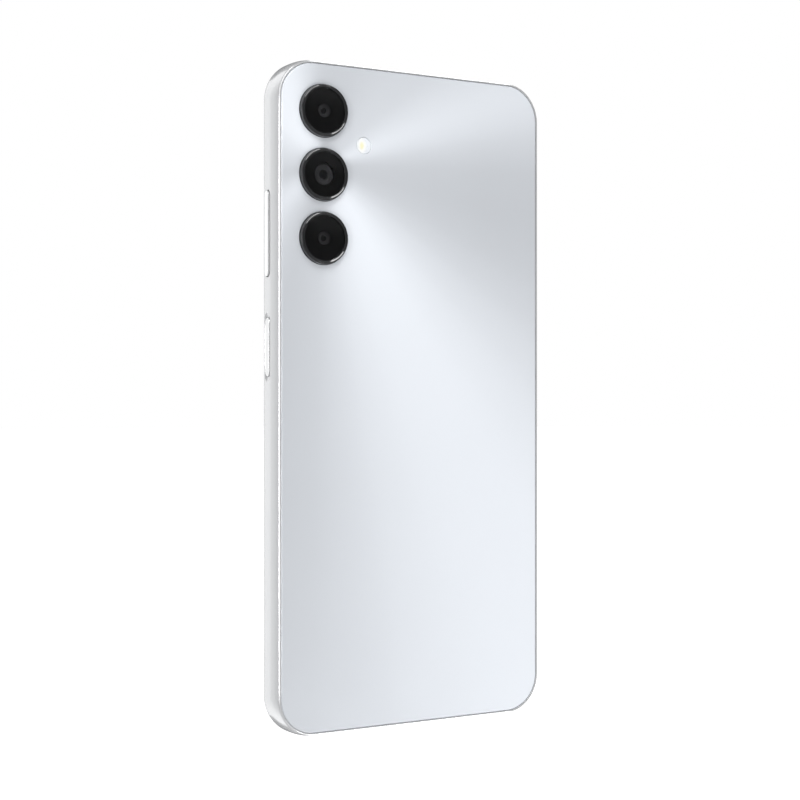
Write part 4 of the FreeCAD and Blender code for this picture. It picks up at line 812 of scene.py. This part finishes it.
def notched(view):
    """The screen's outline with a round-bottomed notch let into the middle of its top edge."""
    shoulder_x, shoulder_z = NOTCH_RADIUS + NOTCH_SHOULDER, SCREEN_HIGH - NOTCH_SHOULDER
    cut = arc(-shoulder_x, shoulder_z, NOTCH_SHOULDER, 90, 0, 6)
    cup = arc(0, FRONT_CAMERA_Z, NOTCH_RADIUS, 180, 360, 28)
    back = arc(shoulder_x, shoulder_z, NOTCH_SHOULDER, 180, 90, 6)
    halfway = HEIGHT / 2
    right = [p for p in view if p[0] > 0]
    left = [p for p in view if p[0] < 0]
    rising = [p for p in right if p[1] < halfway] + [p for p in right if p[1] > halfway]
    falling = [p for p in left if p[1] > halfway] + [p for p in left if p[1] < halfway]
    return rising + list(reversed(cut + cup + back)) + falling


# ---------------------------------------------------------------- cameras and flash


def make_rings():
    """Turned rings with rolled rims, a bevel outside the peak and a slope inside it."""
    for name, z in RING_Z.items():
        roll = [(RING_OUT - 0.17 + 0.17 * u, RIM_Y - 0.95 + 0.77 * v) for u, v in arc(0, 0, 1, 0, 74, 10)]
        flange = RING_OUT + RING_FLANGE
        profile = [
            (RING_IN - 0.32, 3.3), (flange, 3.3), (flange, PANEL_BACK_Y), (RING_OUT, PANEL_BACK_Y), *roll,
            (RING_OUT - 0.15, RIM_Y - 0.185), (RING_OUT - 0.18, RIM_Y - 0.155),
            (RING_PEAK + 0.03, RIM_Y - 0.018), (RING_PEAK, RIM_Y - 0.004), (RING_PEAK - 0.03, RIM_Y),
            (RING_PEAK - 0.05, RIM_Y - 0.005), (RING_PEAK - 0.08, RIM_Y - 0.024),
            (RING_IN + 0.03, RIM_Y - 0.262), (RING_IN + 0.008, RIM_Y - 0.285), (RING_IN, RIM_Y - 0.31),
            (RING_IN, SEAT_Y), (RING_IN - 0.32, SEAT_Y),
        ]
        ring = lathe(f"camera_bezel_{name}", RING_X, z, profile, 160, 28)
        finish_piece(ring, "housing", "ring_black", f"camera_ring_{name}")


def make_windows():
    """The panes of the camera windows and the print on their backs, with an opening for each lens."""
    panes, masks = [], []
    edge = RING_IN - 0.04
    pane = [
        (0, SEAT_Y + 0.014), (edge - 0.02, SEAT_Y + 0.014), (edge, SEAT_Y + 0.034), (edge, SEAT_Y + 0.42),
        (edge - 0.02, SEAT_Y + 0.48), (edge - 0.08, SEAT_Y + 0.5), (0, SEAT_Y + 0.5),
    ]
    for name, z in RING_Z.items():
        panes.append(lathe(f"pane_{name}", RING_X, z, pane, 128, 28))
        opening = WINDOW_OPENINGS[name]
        print_low, print_high = SEAT_Y + 0.002, SEAT_Y + 0.010
        mask = [(opening, print_low), (edge, print_low), (edge, print_high), (opening, print_high)]
        masks.append(lathe(f"mask_{name}", RING_X, z, mask, 96, 28))
    finish_piece(joined("camera_window_glass", panes), "housing", "window_glass", "camera_windows")
    # the print's material carries a painted reflection, lighter towards the top of each window
    finish_piece(joined("camera_window_print_and_reflection", masks), "housing", "window_glass", material=WINDOW_PRINT_AND_REFLECTION)


def make_lenses():
    """A trim and a domed front element for each camera. The main camera's ride on its moving barrel."""
    face = high("auxiliary_cameras").y
    trims, domes = [], []
    for z in (RING_Z["top"], RING_Z["bottom"]):
        trims.append(lathe("trim", RING_X, z, trim_profile(1.52, 0.76, face, 0.3), 96, 28))
        domes.append(lathe("dome", RING_X, z, dome_profile(0.74, face - 0.1, 45), 64, 40))
    finish_piece(joined("auxiliary_lens_trims", trims), "housing", "black_plastic", material=TRIM)
    finish_piece(joined("auxiliary_lens_domes", domes), "housing", "lens_glass")
    face = high("main_camera_barrel").y
    trim = lathe("main_lens_trim", RING_X, RING_Z["middle"], trim_profile(2.5, 1.2, face, 0.3), 96, 28)
    finish_piece(trim, "focus_barrel", "black_plastic", material=TRIM)
    dome = lathe("main_lens_dome", RING_X, RING_Z["middle"], dome_profile(1.18, face - 0.15, 26), 64, 40)
    finish_piece(dome, "focus_barrel", "lens_glass")
    front = low("front_camera").y
    eye = [(r, front - y) for r, y in trim_profile(1.9, 1.0, 0, 0.07)]
    trim = lathe("front_lens_trim", 0, FRONT_CAMERA_Z, eye, 64, 28)
    finish_piece(trim, "housing", "black_plastic", material=TRIM)
    glass = [(r, front - y) for r, y in dome_profile(0.95, 0, 8)]
    finish_piece(lathe("front_lens_dome", 0, FRONT_CAMERA_Z, glass, 64, 40), "housing", "lens_glass")


def trim_profile(outer, inner, face, tall):
    """A conical light baffle with a step, standing on the barrel's face."""
    width = outer - inner
    return [
        (inner, face), (outer, face), (outer, face + tall * 0.9), (outer - 0.04, face + tall),
        (outer - 0.10, face + tall), (outer - 0.14, face + tall * 0.8),
        (inner + width * 0.45, face + tall * 0.62), (inner + width * 0.42, face + tall * 0.4),
        (inner, face + tall * 0.25),
    ]


def dome_profile(radius, base, tilt):
    """A front element: a short edge and a crown whose surface leans by so many degrees at its rim."""
    bend = radius / math.sin(math.radians(tilt))
    edge = base + 0.03
    leans = [math.radians(tilt * k / 12) for k in range(12, -1, -1)]
    crown = [(bend * math.sin(a), edge + bend * (math.cos(a) - math.cos(leans[0]))) for a in leans]
    return [(0, base), (radius, base), *crown]


def make_flash():
    """The diffuser, with ring-shaped ridges moulded into its face."""
    pitch = RIDGED_RADIUS / RIDGES
    ridges = [(0.12, BACK_Y - 0.045), (pitch - 0.02, BACK_Y - 0.015)]
    for n in range(1, RIDGES):
        ridges += [(n * pitch, BACK_Y - 0.045), ((n + 1) * pitch - 0.02, BACK_Y - 0.015)]
    profile = [
        (0, 1.7), (1.45, 1.7), (1.45, 3.2), (2.55, 3.2), (2.55, PANEL_BACK_Y), (FLASH_RADIUS, PANEL_BACK_Y),
        (FLASH_RADIUS, BACK_Y - 0.12), (FLASH_RADIUS - 0.04, BACK_Y - 0.04), (FLASH_RADIUS - 0.12, BACK_Y),
        (1.86, BACK_Y), (1.80, BACK_Y - 0.02), *reversed(ridges), (0, BACK_Y - 0.05),
    ]
    made = lathe("flash_diffuser", FLASH_X, FLASH_Z, profile, 96, 50)
    return finish_piece(made, "housing", "flash_diffuser", "flash_lens")


# ---------------------------------------------------------------- keys


def make_keys():
    """The volume key and the power key, with their flanges and the nubs that reach the switches."""
    for node, key in KEYS.items():
        centre, face = middle(node).z, high(node).x
        drop, inset = key["rounding"]
        flange_low, flange_high = key["flange"]
        edge = [(face - drop + drop * v, inset * (u - 1)) for u, v in arc(0, 0, 1, 0, 90, 10)]
        levels = [(flange_low, FLANGE), (flange_high, FLANGE), (flange_high + 0.001, 0), *edge]
        if node == "power_key":
            levels += [(face, -0.25), (face - 0.25, -0.25)]
        loop = capsule_loop(KEY_Y, centre, KEY_WIDTH, key["length"], 20)
        parts = [stack(key["piece"], through_x(loop, levels), sharp=28)]
        tip = high("key_domes").x + key["nub_gap"]
        for reach in key["nubs"]:
            nub = circle(KEY_Y, centre + reach, NUB_RADIUS, 32)
            parts.append(stack("nub", through_x(nub, [(tip, -0.08), (tip + 0.08, 0), (flange_low + 0.1, 0)])))
        if node == "volume_key":
            rib = circle(flange_low - 0.1, centre, RIB_RADIUS, 24)
            parts.append(stack("rib", through_y(rib, [(KEY_Y - 1, 0), (KEY_Y + 1, 0)])))
        finish_piece(joined(key["piece"], parts), body_of(node), "key_silver", node)


def make_sensor_plate():
    """The fingerprint sensor's plate, let into the power key's face."""
    face = high("fingerprint_sensor").x
    width, length = KEY_WIDTH - 2 * SENSOR_MARGIN, KEYS["power_key"]["length"] - 2 * SENSOR_MARGIN
    loop = capsule_loop(KEY_Y, middle("power_key").z, width, length, 20)
    levels = [(face - 0.27, 0), (face - 0.03, 0), (face, -0.03)]
    plate = stack("sensor_plate", through_x(loop, levels), sharp=28)
    finish_piece(plate, "power_button", "sensor_silver", "fingerprint_sensor")


def body_of(node):
    return NODES[node]["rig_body"]


# ---------------------------------------------------------------- screens


def make_screens():
    """Woven dust screens behind the loudspeaker's slots and the earpiece's slit."""
    for node, pitch, bar in (("speaker_mesh", 0.24, 0.05), ("earpiece_mesh", 0.18, 0.045)):
        made = mesh_grille(f"woven_{node}", low(node), high(node), pitch, bar)
        finish_piece(made, body_of(node), "black_mesh", node)


def dress_cad_nodes():
    """Gives each CAD node that is still shown the material of its slot."""
    for entry in frame["record"]["subparts"]:
        node = NODES[entry["node"]]
        if node.hide_render:
            continue
        for held in node.material_slots:
            held.material = MATERIALS[entry["material_slot"]]


make_frame_ring()
make_rear_panel()
make_front_glass()
make_rings()
make_windows()
make_lenses()
make_flash()
make_keys()
make_sensor_plate()
make_screens()
dress_cad_nodes()

# ---------------------------------------------------------------- studio


def emitter(name, colour, strength):
    made = bpy.data.materials.new(name)
    made.use_nodes = True
    nodes, links = made.node_tree.nodes, made.node_tree.links
    nodes.clear()
    glow = nodes.new("ShaderNodeEmission")
    glow.inputs["Color"].default_value = (*colour, 1)
    glow.inputs["Strength"].default_value = strength
    links.new(glow.outputs[0], nodes.new("ShaderNodeOutputMaterial").inputs["Surface"])
    return made


def direction(azimuth, elevation):
    a, e = math.radians(azimuth), math.radians(elevation)
    return Vector((math.cos(a) * math.cos(e), math.sin(a) * math.cos(e), math.sin(e)))


def softbox(name, azimuth, elevation, distance, width, height, radiance, lean=0, mirrored=True):
    """An area light aimed at the middle of the phone. Azimuth runs from +X towards +Y, in degrees."""
    away = direction(azimuth, elevation)
    light = bpy.data.lights.new(name, "AREA")
    light.shape, light.size, light.size_y = "RECTANGLE", width, height
    light.energy = radiance * math.pi * width * height
    lamp = bpy.data.objects.new(name, light)
    lamp.location = Vector((0, 0, HEIGHT / 2 * MM)) + away * distance
    aim = (-away).to_track_quat("-Z", "Y") @ Quaternion((0, 0, 1), math.radians(lean))
    lamp.rotation_euler = aim.to_euler()
    lamp.visible_camera = False
    lamp.visible_glossy = mirrored
    bpy.context.scene.collection.objects.link(lamp)


# Each softbox: azimuth, elevation, distance, width, height and radiance. The three at the side overlap, so that
# the frame's flat fades across. The strips and the rim lights draw the bright lines along its edges.
SOFTBOXES = {
    "roof": (115, 50, 1.3, 0.5, 0.5, 1.2),
    "side_near": (-70, 0, 1.1, 0.55, 2.4, 0.34),
    "side_wide": (-65, 0, 1.1, 0.76, 2.4, 0.30),
    "side_widest": (-60, 0, 1.1, 0.98, 2.4, 0.32),
    "edge_strip": (26, 0, 1.2, 0.16, 0.6, 7),
    "corner_strip": (27, 46, 1.2, 0.12, 1.5, 4),
    "rim_above": (202, 60, 1.2, 0.4, 0.4, 4),
    "rim_below": (202, -60, 1.2, 0.4, 0.4, 5),
    "low_glint": (111, -30, 1.2, 0.2, 0.08, 30),
}
FLOOR_REACH = 4000
BACKDROP_RADIUS = 4.5
FLAG_REACH, FLAG_DISTANCE = 500, 1.3
CAMERA_PLACE = (0.20453, 0.35127, 0.0835)
CAMERA_TURN = 30
FLAG_TURN = 30
FOCAL_LENGTH, SENSOR = 70.7, 36


def make_lights():
    """A strong key light from above, a fill that isn't mirrored, and the plain softboxes."""
    softbox("top_key", 79, 58, 1.2, 0.95, 0.24, 9, lean=45)
    softbox("fill", 8, 15, 1.5, 1.0, 1.0, 0.35, mirrored=False)
    for name, settings in SOFTBOXES.items():
        softbox(name, *settings)


def hide_from(made, *kinds):
    for kind in kinds:
        setattr(made, f"visible_{kind}", False)


def make_stage():
    """A plain pale floor, a white backdrop behind it, and a black flag that the panel mirrors."""
    r = FLOOR_REACH
    floor = piece("floor", [(-r, -r, 0), (r, -r, 0), (r, r, 0), (-r, r, 0)], [(0, 1, 2, 3)])
    pale = Shader("floor_pale", (0.30, 0.30, 0.30), 0.8, emission_color=(1, 1, 1, 1), emission_strength=0.93)
    floor.data.materials.append(pale.vary(300, 0.01).material)
    hide_from(floor, "glossy", "transmission", "shadow")

    ball = bmesh.new()
    bmesh.ops.create_icosphere(ball, subdivisions=3, radius=BACKDROP_RADIUS)
    mesh = bpy.data.meshes.new("backdrop")
    ball.to_mesh(mesh)
    ball.free()
    mesh.materials.append(emitter("backdrop_white", (1, 1, 1), 1.0))
    backdrop = bpy.data.objects.new("backdrop", mesh)
    bpy.context.scene.collection.objects.link(backdrop)
    hide_from(backdrop, "diffuse", "glossy", "transmission", "shadow", "volume_scatter")

    r = FLAG_REACH
    flag = piece("black_flag", [(-r, 0, -r), (r, 0, -r), (r, 0, r), (-r, 0, r)], [(0, 1, 2, 3)])
    flag.location = Vector((0, 0, HEIGHT * 0.6 * MM)) + direction(120, 5) * FLAG_DISTANCE
    flag.rotation_euler = (0, 0, math.radians(FLAG_TURN))
    flag.data.materials.append(emitter("flag_black", (0, 0, 0), 0.0))
    hide_from(flag, "camera", "diffuse", "transmission", "shadow", "volume_scatter")


def make_room():
    """Soft grey surroundings, lighter towards the ceiling and the ground than at eye level."""
    world = bpy.data.worlds.new("room")
    world.use_nodes = True
    nodes, links = world.node_tree.nodes, world.node_tree.links
    split = nodes.new("ShaderNodeSeparateXYZ")
    links.new(nodes.new("ShaderNodeTexCoord").outputs["Generated"], split.inputs[0])
    height = nodes.new("ShaderNodeMath")
    height.operation = "ABSOLUTE"
    links.new(split.outputs["Z"], height.inputs[0])
    sky = nodes.new("ShaderNodeValToRGB")
    stops = [(0.30, (0.20, 0.204, 0.208, 1)), (0.62, (0.34, 0.345, 0.35, 1))]
    for element, (position, colour) in zip(sky.color_ramp.elements, stops):
        element.position, element.color = position, colour
    links.new(height.outputs[0], sky.inputs["Fac"])
    links.new(sky.outputs["Color"], nodes["Background"].inputs["Color"])
    nodes["Background"].inputs["Strength"].default_value = 1.0
    bpy.context.scene.world = world


def make_camera():
    """A level camera that looks at the panel from 30 degrees to the side of its normal."""
    turn = math.radians(CAMERA_TURN)
    camera = bpy.data.cameras.new("camera")
    camera.lens, camera.sensor_width = FOCAL_LENGTH, SENSOR
    camera.clip_start, camera.clip_end = 0.01, 50
    eye = bpy.data.objects.new("camera", camera)
    eye.location = CAMERA_PLACE
    eye.rotation_euler = Vector((-math.sin(turn), -math.cos(turn), 0)).to_track_quat("-Z", "Y").to_euler()
    bpy.context.scene.collection.objects.link(eye)
    bpy.context.scene.camera = eye


make_stage()
make_room()
make_lights()
make_camera()
bpy.context.scene.view_settings.view_transform = "Standard"
